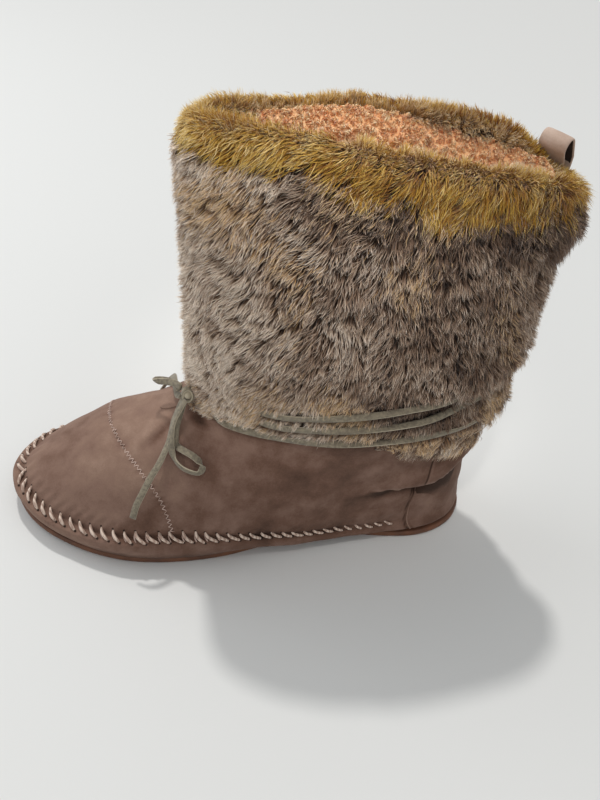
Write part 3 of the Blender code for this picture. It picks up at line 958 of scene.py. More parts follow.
def make_stage():
    """Camera, floor and lights."""
    scene = bpy.context.scene
    angles = (CAMERA_AZIMUTH, CAMERA_ELEVATION, CAMERA_ROLL)
    azimuth, elevation, roll = (math.radians(angle) for angle in angles)
    position = Vector(CAMERA_AT) * MM
    back = Vector(
        (
            math.sin(azimuth) * math.cos(elevation),
            -math.cos(azimuth) * math.cos(elevation),
            math.sin(elevation),
        )
    )
    level_right = Vector((0, 0, 1)).cross(back).normalized()
    level_up = back.cross(level_right)
    right = level_right * math.cos(roll) + level_up * math.sin(roll)
    up = level_up * math.cos(roll) - level_right * math.sin(roll)
    camera = bpy.data.cameras.new("camera")
    camera.sensor_fit = "VERTICAL"
    camera.sensor_height = FILM_HEIGHT
    camera.lens = FOCAL_LENGTH
    camera.clip_start = 0.01
    camera.clip_end = 20
    stand = bpy.data.objects.new("camera", camera)
    scene.collection.objects.link(stand)
    turned = Matrix((right, up, back)).transposed().to_4x4()
    stand.matrix_world = Matrix.Translation(position) @ turned
    scene.camera = stand

    build = bmesh.new()
    bmesh.ops.create_grid(build, x_segments=1, y_segments=1, size=3.0)
    mesh = bpy.data.meshes.new("floor")
    build.to_mesh(mesh)
    build.free()
    made, tree, shader = new_finish("matt_white_board")
    look = {"Base Color": (*settings().floor_colour, 1), "Roughness": 0.85}
    set_inputs(tree, shader, {**look, "Specular IOR Level": 0.2})
    mesh.materials.append(made)
    floor = bpy.data.objects.new("floor", mesh)
    scene.collection.objects.link(floor)

    sun = bpy.data.lights.new("key", "SUN")
    sun.energy = settings().key_strength
    sun.angle = math.radians(3.2)
    sun.color = (1.0, 0.985, 0.96)
    window = bpy.data.lights.new("window", "AREA")
    window.energy = settings().window_power
    window.size = 0.8
    window.color = (0.93, 0.97, 1.0)
    lamp = bpy.data.lights.new("shaft_lamp", "SPOT")
    lamp.energy = settings().lamp_power
    lamp.spot_size = math.radians(19)
    lamp.spot_blend = 1.0
    lamp.shadow_soft_size = 0.05
    lamp.color = (1.0, 0.97, 0.93)
    # Where each light stands and the place it looks at
    for light, stand_at, look_at in (
        (sun, (0.113, -0.42, 0.90), (0.0, 0.0, 0.0)),
        (window, (0.90, -0.35, 0.60), (0.0, 0.0, 0.0)),
        (lamp, (0.19, 0.28, 0.80), (0.07, 0.0, 0.19)),
    ):
        holder = bpy.data.objects.new(light.name, light)
        holder.location = stand_at
        way = Vector(stand_at) - Vector(look_at)
        holder.rotation_euler = way.to_track_quat("Z", "Y").to_euler()
        scene.collection.objects.link(holder)

    world = bpy.data.worlds.new("soft_room")
    world.use_nodes = True
    sky = world.node_tree.nodes["Background"]
    sky.inputs["Color"].default_value = (0.975, 0.99, 1.0, 1.0)
    sky.inputs["Strength"].default_value = settings().fill_strength
    scene.world = world
    scene.view_settings.view_transform = "Standard"


def lace_height(turns):
    """Height of the thong's rounds, which close up in front and fan out behind."""
    front = LACE_FRONT_LOW + LACE_FRONT_CLIMB * turns
    behind = LACE_BACK_LOW + LACE_BACK_CLIMB * turns - LACE_BACK_EASE * turns**2
    return front + (behind - front) * (1 - np.cos(TAU * turns)) / 2


def lace_shown(turns):
    """How much of the thong lies on top of the fur: 1 in full view, 0 swallowed by the pile."""
    folded = from_toe(turns * TAU)
    low_round = ease(0.46, 0.66, folded) * ease(2.60, 2.15, folded)
    high_rounds = ease(0.80, 1.12, folded) * ease(2.30, 1.86, folded)
    return np.where(turns < 0.93, low_round, high_rounds)


def make_bow():
    """The bow: two flat ends and two loops from one knot, each a free run of the thong."""
    thong = "khaki_suede_lacing"
    width = settings().thong_width / MM
    thick = settings().thong_thickness / MM
    spacing = 1.6
    # Where each run's flat side looks at its start and at its end
    facings = {
        "lace_end_outer": ((0.9, 0.2, 0.4), (0.35, 0.75, 0.65)),
        "lace_end_inner": ((0.8, -0.1, 0.6), (0.5, -0.55, 0.7)),
    }
    for name, points in LACE_ROUTES.items():
        route = smooth_route(points, spacing)
        share = np.linspace(0, 1, len(route))[:, None]
        if name in facings:
            start, end = (np.array(way) for way in facings[name])
            facing = unit(start + (end - start) * share)
        else:
            middle = (route[0] + route[-1]) / 2 * 0.35 + route.mean(axis=0) * 0.65
            heading = unit(np.gradient(route, axis=0))
            outward_way = unit(route - middle)
            side = unit(np.cross(heading, outward_way))
            lean = math.radians(38)
            facing = outward_way * math.cos(lean) + side * math.sin(lean)
        piece = strap_piece(
            name + "_thong", route, facing, width, thick, thong, (name,)
        )

    build = bmesh.new()
    angle = np.linspace(0, TAU, 21)
    # Two turns of thong drawn tight over each other: lean, half height, half depth, shift
    for lean, half_high, half_deep, shift in ((0.35, 2.5, 2.0, -1.3), (-0.4, 2.9, 2.3, 1.1)):
        loop = np.stack(
            (
                half_deep * np.cos(angle),
                shift + lean * half_high * np.sin(angle),
                half_high * np.sin(angle),
            ),
            axis=-1,
        )
        facing = np.stack((np.cos(angle), 0 * angle, np.sin(angle)), axis=-1)
        add_strap(build, KNOT_AT + loop, facing, width * 0.9, thick * 1.5, closed_ends=False)
    core = bmesh.ops.create_uvsphere(build, u_segments=16, v_segments=10, radius=2.3 * MM)
    for corner in core["verts"]:
        corner.co = Vector(KNOT_AT * MM) + Vector((corner.co.x, corner.co.y * 1.7, corner.co.z))
    bmesh.ops.remove_doubles(build, verts=build.verts, dist=0.02 * MM)
    bmesh.ops.recalc_face_normals(build, faces=build.faces)
    keep("lace_knot_wraps", build, thong, ("lace_knot",))


def make_ankle_rounds():
    """The thong's three rounds of the ankle, sunk in the pile in front and under the slouch."""
    steps = 340
    turns = np.linspace(LACE_FIRST_TURN, LACE_LAST_TURN, steps)
    turn = turns * TAU
    level = level_at_height(shaft_points, turn, lace_height(turns))
    up, out = directions(shaft_points, turn, level)[1:]
    sunk, rise = -3.2, 3.6
    clearance = sunk + rise * lace_shown(turns)
    route = shaft_points(turn, level) + out * (clearance + slouch(turn, level) * 0.5)[:, None]
    lean = np.radians(34 + 30 * waviness(route, 40, seed=4))[:, None]
    facing = out * np.cos(lean) + up * np.sin(lean)
    strap_piece(
        "lace_rounds",
        route,
        facing,
        settings().thong_width / MM,
        settings().thong_thickness / MM,
        "khaki_suede_lacing",
        ("lace_wrap",),
    )


# ---------------------------------------------------------------- suede foot

# Level of the whip-stitched seam, half the height that stitches take up, and where they end
STITCH_LEVEL = 0.365
STITCH_HALF_LEVEL = 0.062
STITCH_END_TURN = 2.29

# The seam in front of the heel piece: its turn at the sole and at its top, and its top's level
HEEL_SEAM_LOW = 2.38
HEEL_SEAM_HIGH = 2.29
HEEL_SEAM_TOP = 0.69

# The raised edge of the heel piece and the hollow behind it, as shares of its width
RIDGE_AT = 0.0045
HOLLOW_AT = 0.012

# The seam across the vamp: the point furthest forward and how much it bends back
VAMP_SEAM_X = 178.0
VAMP_SEAM_Y = -18.0
VAMP_SEAM_BEND = 0.0083

# Soft creases of the vamp as (start, end, height, width) in millimetres
CREASES = (
    ((145.0, 5.0, 76.0), (163.7, 17.0, 57.0), 1.1, 2.6),
    ((141.0, 8.0, 77.0), (158.0, 18.0, 58.0), -1.0, 3.0),
    ((139.0, 11.0, 81.0), (129.0, 21.0, 79.0), -1.8, 2.6),
    ((142.0, 33.0, 56.0), (158.0, 44.0, 26.0), -0.5, 3.0),
    ((118.0, 40.0, 66.0), (128.0, 44.0, 40.0), 0.5, 6.0),
    ((80.0, 41.0, 72.0), (60.0, 40.0, 34.0), 0.6, 7.0),
    ((146.0, -14.0, 74.0), (166.0, -26.0, 55.0), 0.8, 3.0),
    ((140.0, -24.0, 74.0), (154.0, -36.0, 50.0), -0.7, 3.5),
)

# Edge of the ankle part where it slumps over the heel piece: along, height
FOLD_EDGE = np.array(
    (
        (-32.0, 64.0),
        (-24.0, 62.5),
        (-16.0, 59.0),
        (-8.0, 50.5),
        (3.0, 46.5),
        (20.0, 46.5),
        (31.0, 44.5),
        (44.0, 42.0),
    )
)


def vamp_seam_x(y):
    """How far forward the zigzag seam across the vamp lies."""
    return VAMP_SEAM_X - VAMP_SEAM_BEND * (y - VAMP_SEAM_Y) ** 2


def distance_to_line(points, start, end):
    """Distance from points to a straight line between two places, and the share along it."""
    start, end = np.array(start), np.array(end)
    run = end - start
    share = np.clip((points - start) @ run / (run @ run), 0, 1)
    return np.linalg.norm(points - start - share[..., None] * run, axis=-1), share


def crease_shares(points):
    """Each crease's height, and how near it and how far from its ends the points lie."""
    for start, end, height, width in CREASES:
        away, share = distance_to_line(points, start, end)
        fade = np.sin(math.pi * np.clip(0.08 + share * 0.84, 0, 1)) ** 0.6
        yield height, hump(away, 0.0, width), fade


def above_fold(x, z):
    """Height above the edge where the ankle part slumps over the heel piece."""
    return z - smooth_between(FOLD_EDGE[:, 0], FOLD_EDGE[:, 1], x)


def heel_seam(share):
    """Turn of the seam in front of the heel piece at a share of its way up."""
    return HEEL_SEAM_LOW + (HEEL_SEAM_HIGH - HEEL_SEAM_LOW) * share


def stitch_places(pitch):
    """Turns of the whip stitches, even along the seam from one heel seam to the other."""
    turns, walked = turns_by_distance(upper_points, STITCH_LEVEL)
    reach = np.interp(STITCH_END_TURN - 0.05, turns, walked)
    count = int(reach / pitch)
    along = np.arange(-count, count + 1) * pitch
    return np.interp(np.abs(along), walked, turns) * np.sign(along), along


def suede_rise(x):
    """How much higher than the plain upper the suede reaches, up to the thong at the side."""
    return 7.5 * hump(x, 38.0, 24.0)


def suede_points(turn, level):
    """Points on the outside of the foot with its seams, puckers, creases and folds."""
    plain = upper_points(turn, level)
    out = outward(upper_points, turn, level)
    folded = from_toe(turn)
    turns, walked = turns_by_distance(upper_points, STITCH_LEVEL)
    along = np.interp(folded, turns, walked) * np.where(turn % TAU > math.pi, -1, 1)
    pitch = settings().stitch_pitch / MM
    stitched = ease(STITCH_END_TURN + 0.02, STITCH_END_TURN - 0.12, folded)

    # Seam groove under the whip stitches, and the puckers that each stitch pulls
    from_seam = (level - STITCH_LEVEL) / STITCH_HALF_LEVEL
    groove = -1.0 * hump(from_seam, 0.0, 0.42)
    beat = np.cos(TAU * (along / pitch))
    pucker = 0.35 * beat * hump(np.abs(from_seam), 1.0, 0.5)
    shoulder = 0.6 * hump(from_seam, -1.6, 0.8)
    shoulder += 0.5 * hump(from_seam, 1.8, 0.7)
    relief = (groove - pucker + shoulder) * stitched

    # Zigzag seam across the vamp: the front part lies a little lower
    x, y, z = plain[..., 0], plain[..., 1], plain[..., 2]
    past = x - vamp_seam_x(y)
    top_side = ease(0.42, 0.5, level)
    relief += top_side * (-0.3 * ease(-0.5, 0.5, past) - 0.35 * hump(past, 0.0, 1.0))

    for height, near, fade in crease_shares(plain):
        relief += height * near * fade

    # The ankle part slumps over the heel piece and shades the hollow under its edge
    reach = ease(40, 8, x)
    above = above_fold(x, z)
    relief += reach * 4.6 * ease(-1.0, 0.6, above) * (1 - 0.85 * ease(3.0, 18.0, above))
    relief -= reach * 3.0 * hump(above, -3.0, 4.5) * ease(0.4, -0.8, above)

    # Seam in front of the heel piece: a thin groove
    seam = heel_seam(np.clip(level / HEEL_SEAM_TOP, 0, 1))
    relief -= 0.5 * hump(folded - seam, -0.006, 0.008) * (above < 0)

    # Drawn in where it meets the sole behind the arch
    relief -= 1.0 * ease(0.12, 0.0, level) * ease(60, 12, x)

    # Slight unevenness of hand-lasted suede
    wide = ease(0.05, 0.2, level) * ease(1.0, 0.9, level)
    relief += wide * (0.7 * waviness(plain, 28, seed=1) + 0.16 * waviness(plain, 8, seed=2))
    raised = ease(0.86, 1.0, level)
    relief += raised * 0.2 * suede_rise(x)
    points = plain + out * relief[..., None]
    points[..., 2] += raised * suede_rise(x)
    return points


def suede_nap_and_painted_light(turn, level):
    """Painted light and shade in the suede's colour: shade in folds, seams and creases, along the
    sole, under the fur and down the sides; highlights on ridges; a little random nap tone.
    """
    plain = upper_points(turn, level)
    x, y, z = plain[..., 0], plain[..., 1], plain[..., 2]
    folded = from_toe(turn)
    # Painted shade down the sides and towards the heel, then a little random tone of the nap
    tone = -0.17 * ease(165, 105, x) * ease(8, 26, np.abs(y)) - 0.05 * ease(30, -10, x)
    tone += 0.025 * waviness(plain, 18, seed=5) + 0.01 * waviness(plain, 5, seed=6)

    # Painted shade along the sole, round the whip stitches' seam and under the fur at the top edge
    tone -= 0.14 * ease(0.14, 0.0, level)
    from_seam = (level - STITCH_LEVEL) / STITCH_HALF_LEVEL
    tone -= 0.10 * hump(from_seam, 0.0, 1.1) * ease(2.3, 2.1, folded)
    tone -= 0.10 * ease(0.90, 1.0, level)

    # Painted highlights on the creases' ridges and painted shade in their hollows
    for height, near, fade in crease_shares(plain):
        strength = 0.07 if height > 0 else 0.20
        tone += strength * height * near * fade

    # Painted highlight along the edge of the slumped ankle part and painted shade in the hollow
    # under it
    reach = ease(52, 20, x)
    above = above_fold(x, z)
    tone += reach * 0.20 * hump(above, 0.8, 0.9)
    tone -= reach * 0.55 * hump(above, -2.2, 4.2) * ease(0.4, -0.4, above)
    # Painted shade in the groove of the seam in front of the heel piece
    seam = heel_seam(np.clip(level / HEEL_SEAM_TOP, 0, 1))
    tone -= 0.26 * hump(folded - seam, -0.006, 0.008) * ease(0.5, -0.5, above)
    # The seam goes on above the fold, a little further back, in paint only: a painted highlight
    # for its ridge and painted shade for its groove
    upper_seam = folded - seam - 0.035
    tone += reach * 0.26 * hump(upper_seam, 0.0, 0.008) * ease(0.5, 2.0, above)
    tone -= reach * 0.36 * hump(upper_seam, -0.016, 0.009) * ease(0.5, 2.0, above)
    # Painted shade along the zigzag seam across the vamp
    past = x - vamp_seam_x(y)
    return tone - 0.12 * ease(0.42, 0.5, level) * hump(past, 0.0, 0.8)


def make_suede_foot():
    """The suede foot as one shaped grid, finer round the whip-stitched seam."""
    turns, walked = turns_by_distance(upper_points, STITCH_LEVEL)

    def place(across, along):
        turn = np.interp(across * walked[-1], walked, turns)
        return turn, np.interp(along, (0, 0.13, 0.6, 1), (0, 0.22, 0.52, 1))

    def shape(across, along):
        return suede_points(*place(across, along))

    def nap_and_painted_light(across, along):
        return suede_nap_and_painted_light(*place(across, along))

    grid_piece(
        "suede_upper",
        440,
        64,
        shape,
        "taupe_nap_suede",
        ("upper",),
        closed=True,
        wall=1.4,
        nap_and_painted_light=nap_and_painted_light,
    )


def make_heel_piece():
    """Heel piece: a panel with raised seams whose top tucks in under the slumped ankle part."""
    bottom, top_at_back = 0.05, 0.92

    def place(across, along):
        # Columns lie closer together towards both sides, where the raised seams are
        across = across - 0.9 * np.sin(TAU * across) / TAU
        top = HEEL_SEAM_TOP + (top_at_back - HEEL_SEAM_TOP) * np.sin(math.pi * across)
        level = bottom + (top - bottom) * along
        seam = heel_seam(along)
        return seam + (TAU - 2 * seam) * across, level, np.minimum(across, 1 - across)

    def shape(across, along):
        turn, level, from_side = place(across, along)
        out = outward(upper_points, turn, level)
        height = -0.1 + 0.35 * ease(0.0, 0.002, from_side)
        height += 0.6 * hump(from_side, RIDGE_AT, 0.0024) * ease(0.05, 0.3, along)
        height -= 0.3 * hump(from_side, HOLLOW_AT, 0.004)
        plain = upper_points(turn, level)
        height += 0.3 * waviness(plain, 22, seed=3)
        height -= 2.8 * ease(0.84, 1.0, along) + 1.0 * ease(0.12, 0.0, along)
        return plain + out * height[..., None]

    def nap_and_painted_light(across, along):
        turn, level, from_side = place(across, along)
        plain = upper_points(turn, level)
        # Painted light and shade on the heel piece: shade all over, deepest along its edges, in
        # the hollow behind the raised edge, under the fold, at the sole and across the middle of
        # the back; a painted highlight on the raised edge; a little random tone
        tone = -0.17 + 0.03 * waviness(plain, 14, seed=7)
        tone += 0.26 * hump(from_side, RIDGE_AT, 0.0022) * ease(0.05, 0.3, along)
        tone -= 0.10 * hump(from_side, HOLLOW_AT, 0.005)
        tone -= 0.32 * ease(0.0022, 0.0, from_side)
        tone -= 0.45 * ease(0.62, 0.92, along) + 0.12 * ease(0.2, 0.0, along)
        return tone - 0.10 * ease(0.3, 0.5, from_side)

    grid_piece(
        "suede_heel_piece",
        170,
        44,
        shape,
        "taupe_nap_suede",
        ("heel_counter",),
        wall=1.0,
        nap_and_painted_light=nap_and_painted_light,
    )


def make_tongue_tab():
    """Round-ended suede tab on the instep, cut with soft edges."""
    half_width, centre_y = 10.5, -6.0
    top_level, end_level = 0.985, 0.845
    clearance, thick = -0.1, 1.0

    def shape(across, along):
        level = top_level + (end_level - top_level) * np.sin(math.pi / 2 * along)
        taper = np.maximum(np.cos(math.pi / 2 * along), 0) ** 0.6
        reach = half_width * np.maximum(taper, 0.05)
        y = centre_y + reach * (2 * across - 1)
        ring_half = np.abs(upper_points(np.full_like(level, math.pi / 2), level)[..., 1])
        turn = np.arcsin(np.clip(y / ring_half, -1, 1))
        out = outward(upper_points, turn, level)
        return suede_points(turn, level) + out * (clearance + thick / 2)

    piece = grid_piece(
        "tongue_tab", 28, 36, shape, "taupe_nap_suede", ("tongue",)
    )
    solid = piece.modifiers.new("wall", "SOLIDIFY")
    solid.thickness = thick * MM
    solid.offset = 0
    edge = piece.modifiers.new("edge", "BEVEL")
    edge.width = 0.4 * MM
    edge.segments = 2
    edge.limit_method = "ANGLE"


# ---------------------------------------------------------------- sole


def sole_points(turn, inset, shrink, height):
    """Points round the sole's outline, pulled in by inset and shrunk towards its middle line."""
    middle = (TOE_X + HEEL_X) / 2
    half_length = ((TOE_X - HEEL_X) / 2 - inset) * (1 - 0.55 * shrink)
    centre, half = outline_at(1, 2, turn)
    half = half * (1 - inset / SOLE_HALF_WIDTH) * (1 - shrink)
    x = middle + half_length * np.cos(turn)
    y = centre + half * np.sign(np.sin(turn))
    return np.stack((x, y, sole_rise(x) + height), axis=-1)


# Section of the outsole from the middle of its underside round to the middle of its top.
# step, inset, shrink, height above the underside
SOLE_SECTION = np.array(
    (
        (0.00, 2.0, 1.00, 0.0),
        (0.30, 2.0, 0.00, 0.0),
        (0.36, 1.1, 0.00, 0.25),
        (0.42, 0.4, 0.00, 0.9),
        (0.50, 0.0, 0.00, 1.9),
        (0.58, 0.1, 0.00, 3.2),
        (0.64, 0.5, 0.00, SOLE_THICK - 0.3),
        (0.70, 1.4, 0.00, SOLE_THICK),
        (1.00, 2.0, 1.00, SOLE_THICK),
    )
)


def make_outsole():
    """Thin flat rubber sole with a rounded edge and shallow cross grooves underneath."""

    def shape(across, along):
        turn = across * TAU
        inset, shrink, height = (
            np.interp(along, SOLE_SECTION[:, 0], column) for column in SOLE_SECTION.T[1:]
        )
        points = sole_points(turn, inset, shrink, height)
        x = points[..., 0]
        # Behind the arch the sole stands out a little beyond the suede
        step = 0.01
        ahead = sole_points(turn + step, inset, shrink, height)
        behind = sole_points(turn - step, inset, shrink, height)
        outward = unit(np.cross(ahead - behind, np.array((0.0, 0.0, 1.0))))
        lip = 3.2 * ease(60, 12, x) * (1 - shrink)
        points = points + outward * lip[..., None]
        groove_pitch, groove_depth = 6.0, 0.6
        under = ease(0.32, 0.28, along) * ease(0.0, 4.0, np.abs(x - 55) - 30)
        groove = groove_depth * ease(0.55, 0.9, np.cos(TAU * x / groove_pitch)) * under
        points[..., 2] += groove * (1 - shrink * 0.3)
        return points

    grid_piece(
        "rubber_outsole",
        240,
        50,
        shape,
        "brown_moulded_rubber",
        ("outsole",),
        closed=True,
    )


# ---------------------------------------------------------------- stitches


def add_thread(build, points, radius, sides=6, segments=6):
    """One short thread through a few points, tapering into its holes."""
    route = smooth_route(points, 0.01)
    picks = np.linspace(0, len(route) - 1, segments + 1).astype(int)
    route = route[picks]
    heading = unit(np.gradient(route, axis=0))
    first = unit(np.cross(heading, np.array((0.3, 0.2, 0.93))))
    second = np.cross(heading, first)

    def shape(across, along):
        row = np.rint(along * segments).astype(int)
        angle = (across * TAU)[:, None]
        size = (radius * (0.55 + 0.45 * np.sin(math.pi * along) ** 0.5))[:, None]
        return route[row] + (first[row] * np.cos(angle) + second[row] * np.sin(angle)) * size

    add_grid(build, sides, segments, shape, closed=True)


def add_hole(build, place, radius):
    """A dark dimple of painted shade where a thread goes through the suede."""
    dimple = Matrix.Translation(Vector(place * MM))
    bmesh.ops.create_icosphere(build, subdivisions=1, radius=radius * MM, matrix=dimple)


# The thin crossing stitches begin this far along the foot
BACK_STITCHES_FROM = 112.0

# How far a whip stitch slants along the seam: along the foot, slant
SLANTS = np.array(
    (
        (15.0, 5.0),
        (40.0, 6.0),
        (90.0, 8.5),
        (130.0, 11.0),
        (145.0, 11.0),
        (165.0, 9.6),
        (180.0, 8.2),
        (205.0, 8.4),
        (222.0, 8.0),
    )
)

# How far a whip stitch reaches up and down from the seam: along the foot, share
STITCH_REACHES = np.array(
    (
        (10.0, 0.42),
        (60.0, 0.50),
        (100.0, 0.72),
        (125.0, 1.05),
        (165.0, 0.95),
        (195.0, 0.70),
    )
)


def make_whip_stitches():
    """Whip stitches round the seam: a thick slanting thread and, in front, a thin crossing one."""
    rng = np.random.default_rng(11)
    pitch = settings().stitch_pitch / MM
    radius = settings().thread_size / MM / 2
    places, along = stitch_places(pitch)
    turns, walked = turns_by_distance(upper_points, STITCH_LEVEL)

    def surface_at(distance, from_seam, lift):
        turn = np.interp(abs(distance), walked, turns) * np.sign(distance)
        turn = np.atleast_1d(turn)
        level = np.atleast_1d(STITCH_LEVEL + STITCH_HALF_LEVEL * from_seam)
        return (suede_points(turn, level) + outward(upper_points, turn, level) * lift)[0]

    thick = bmesh.new()
    thin = bmesh.new()
    holes = bmesh.new()
    for turn, distance in zip(places, along):
        x = upper_points(np.array([turn]), np.array([STITCH_LEVEL]))[0, 0]
        toward_toe = -math.copysign(1, distance) if distance else 1.0
        slant = float(look_up(SLANTS, x)) * rng.uniform(0.88, 1.12)
        reach = float(look_up(STITCH_REACHES, x))
        reach *= rng.uniform(0.92, 1.08)
        shift = float(np.interp(x, (130, 190), (0.0, -0.22)))
        size = radius * float(np.interp(x, (10, 100), (0.75, 1.0)))
        top = surface_at(distance + toward_toe * slant / 2, shift + reach, -0.3)
        shoulder = surface_at(distance + toward_toe * slant * 0.3, shift + 0.6 * reach, size)
        middle = surface_at(distance, shift, size * 2.1)
        hip = surface_at(distance - toward_toe * slant * 0.3, shift - 0.6 * reach, size)
        bottom = surface_at(distance - toward_toe * slant / 2, shift - reach, -0.3)
        add_thread(thick, (top, shoulder, middle, hip, bottom), size)
        for end, from_middle in ((top, top - middle), (bottom, bottom - middle)):
            add_hole(holes, end + unit(from_middle) * 0.5, size * 0.95)
        if x > BACK_STITCHES_FROM:
            across_by = slant / 2 - pitch * 0.9
            far = surface_at(distance + toward_toe * across_by, shift - reach * 0.8, -0.1)
            across_by = slant / 2 - pitch * 0.45
            middle = surface_at(distance + toward_toe * across_by, shift + 0.1, size * 1.2)
            add_thread(thin, (top, middle, far), size * 0.55)
    for name, build, thread in (
        ("whip_stitches", thick, "beige_waxed_thread"),
        ("whip_back_stitches", thin, "taupe_seam_thread"),
        ("whip_stitch_hole_shade", holes, "dark_stretched_suede"),
    ):
        bmesh.ops.recalc_face_normals(build, faces=build.faces)
        keep(name, build, thread)


def make_zigzag_seam():
    """Small zigzag stitches along the seam across the vamp."""
    build = bmesh.new()
    step, half, radius = 1.5, 1.0, 0.28
    # The seam is found among many places on the front of the foot, from one side to the other
    turn, level = np.meshgrid(np.linspace(-1.5, 1.5, 600), np.linspace(0.42, 0.72, 61))
    turn, level = turn.ravel(), level.ravel()
    places = upper_points(turn, level)
    rows = []
    for y in np.arange(-47.0, 47.0, 0.25):
        gap = np.hypot(places[:, 0] - vamp_seam_x(y), places[:, 1] - y)
        nearest = gap.argmin()
        if gap[nearest] < 0.8:
            rows.append(nearest)
    turn, level = turn[rows], level[rows]
    out = outward(upper_points, turn, level)
    line = suede_points(turn, level) + out * 0.25
    walked = walked_along(line)
    stops = np.arange(0, walked[-1], step)
    base = np.stack([np.interp(stops, walked, column) for column in line.T], axis=-1)
    heading = unit(np.gradient(base, axis=0))
    away = np.stack([np.interp(stops, walked, column) for column in out.T], axis=-1)
    side = unit(np.cross(heading, away))
    signs = np.where(np.arange(len(base)) % 2 == 0, 1, -1)[:, None]
    zigzag = base + side * half * signs
    for near, far in zip(zigzag, zigzag[1:]):
        middle = (near + far) / 2 + np.array((0, 0, 0.22))
        add_thread(build, (near, middle, far), radius, sides=5, segments=3)
    bmesh.ops.recalc_face_normals(build, faces=build.faces)
    keep("vamp_zigzag_stitches", build, "taupe_seam_thread")


# ---------------------------------------------------------------- fur shaft

# Depth of the fur's backing below the shaft's outside, at the hem and higher up
HEM_DEPTH = 1.2
SKIN_DEPTH = 6.5

# The collar turns over between this drop below the rim outside and the same inside
BAND_DROP = 12.0

# Lower edge of the slouch behind the ankle
SLOUCH_FROM_X = 18.0
SLOUCH_HEIGHT = 115.5
SLOUCH_CLIMB = 0.17

# Height of the collar's crest over the plain rim: turn, lift
CREST_LIFTS = np.array(
    (
        (-3.14, -9.5),
        (-2.95, -10.0),
        (-2.70, -9.0),
        (-2.35, 0.5),
        (-2.10, 1.0),
        (-1.80, -2.8),
        (-1.50, -2.8),
        (-1.20, -5.0),
        (-0.90, -4.0),
        (-0.55, 1.2),
        (-0.20, 0.5),
        (0.20, 3.0),
        (0.60, 3.0),
        (1.00, 3.5),
        (1.25, 1.0),
        (1.50, -1.5),
        (1.90, -3.0),
        (2.70, -6.0),
        (3.14, -9.5),
    )
)

# Roots of the collar's ochre band reach down to this drop below the rim: turn, drop
BAND_DROPS = np.array(
    (
        (-3.14, 8.0),
        (-2.30, 13.0),
        (-1.57, 13.0),
        (-0.50, 7.0),
        (0.50, 6.5),
        (1.20, 7.0),
        (1.55, 13.0),
        (1.90, 15.5),
        (2.20, 14.0),
        (2.66, 9.0),
        (3.14, 8.0),
    )
)

# The sherpa opening at the rim: middle along, middle across, half length, half width
OPENING = (59.0, -6.0, 79.0, 22.5)

# How far the lining's top edge lies below the rim: along, dip
LINING_DIPS = np.array(
    (
        (-16.0, 1.5),
        (0.0, 3.5),
        (20.0, 5.0),
        (35.0, 3.5),
        (60.0, 1.8),
        (85.0, 1.5),
        (103.0, 3.2),
        (125.0, 2.0),
        (136.0, 1.5),
    )
)

# The pull loop: turn of its foot, the way it faces and its width
LOOP_TURN = np.array([math.radians(204)])
LOOP_OUTWARD = np.array((-0.76, -0.65, 0.0))
LOOP_WIDTH = 14.0


def slouch(turn, level):
    """How far the shaft's skin is pushed in or out where it slumps behind the ankle."""
    points = shaft_points(turn, level)
    x, y, z = points[..., 0], points[..., 1], points[..., 2]
    edge = SLOUCH_HEIGHT + SLOUCH_CLIMB * (SLOUCH_FROM_X - x)
    behind = ease(34, 10, x) * ease(-36, -14, y)
    above = z - edge
    bulge = 4.4 * hump(above, 5, 9) * ease(-1.5, 1.0, above)
    bulge = bulge * (1 - 0.8 * ease(2, 26, -x))
    crease = -6.5 * hump(above, -3.0, 4.4) * ease(1.5, -1.0, above)
    # Under the roll the shaft is drawn in
    tuck = -6.5 * ease(94, 85, z) * ease(72, 79, z) * ease(-10, -26, x)
    # Below the rim behind, the collar swells out
    drop = rim_point(turn)[..., 2] - z
    swell = 6.0 * hump(drop, 21, 11) * ease(16, -20, x)
    return behind * (bulge + crease) + tuck + swell


def skin_points(turn, level):
    """Points on the fur's backing, inside the outer surface of the shaft."""
    out = outward(shaft_points, turn, level)
    depth = HEM_DEPTH + (SKIN_DEPTH - HEM_DEPTH) * ease(0.0, 0.3, level)
    return shaft_points(turn, level) + out * (slouch(turn, level) - depth)[..., None]


def rim_point(turn):
    """Points on the plain rim of the shaft."""
    return shaft_points(turn, np.ones_like(turn))


def lining_edge(turn):
    """Top edge of the lining: an oval inside the rim that dips towards both ends."""
    middle_x, middle_y, half_length, half_width = OPENING
    x = middle_x + half_length * np.cos(turn)
    y = middle_y + half_width * np.sin(turn)
    rim = rim_point(turn)[..., 2]
    dip = look_up(LINING_DIPS, x)
    dip = dip + 2.5 * ease(-0.3, 0.4, np.sin(turn))
    return np.stack((x, y, rim - dip), axis=-1)


def collar_points(turn, drop):
    """Points on the collar's skin: drop 0 on its crest, -12 at the lining, 12 on the shaft."""
    rim = rim_point(turn)
    level = level_at_height(shaft_points, turn, rim[..., 2] - np.maximum(drop, BAND_DROP))
    outside = skin_points(turn, level)
    share = np.where(drop > 0, 0.5 - drop / BAND_DROP / 2, 0.5 - drop / (2 * BAND_DROP))
    share = np.clip(share, 0, 1)
    inside = lining_edge(turn)
    across = (1 - np.cos(math.pi * share)) / 2
    lift = look_up(CREST_LIFTS, turn, TAU)
    crest = rim[..., 2] + lift
    low = np.where(share < 0.5, outside[..., 2], inside[..., 2])
    rise = np.sin(math.pi * share) ** 0.7
    points = outside + (inside - outside) * across[..., None]
    points[..., 2] = low + (crest - low) * rise
    return np.where((drop < BAND_DROP)[..., None], points, outside)


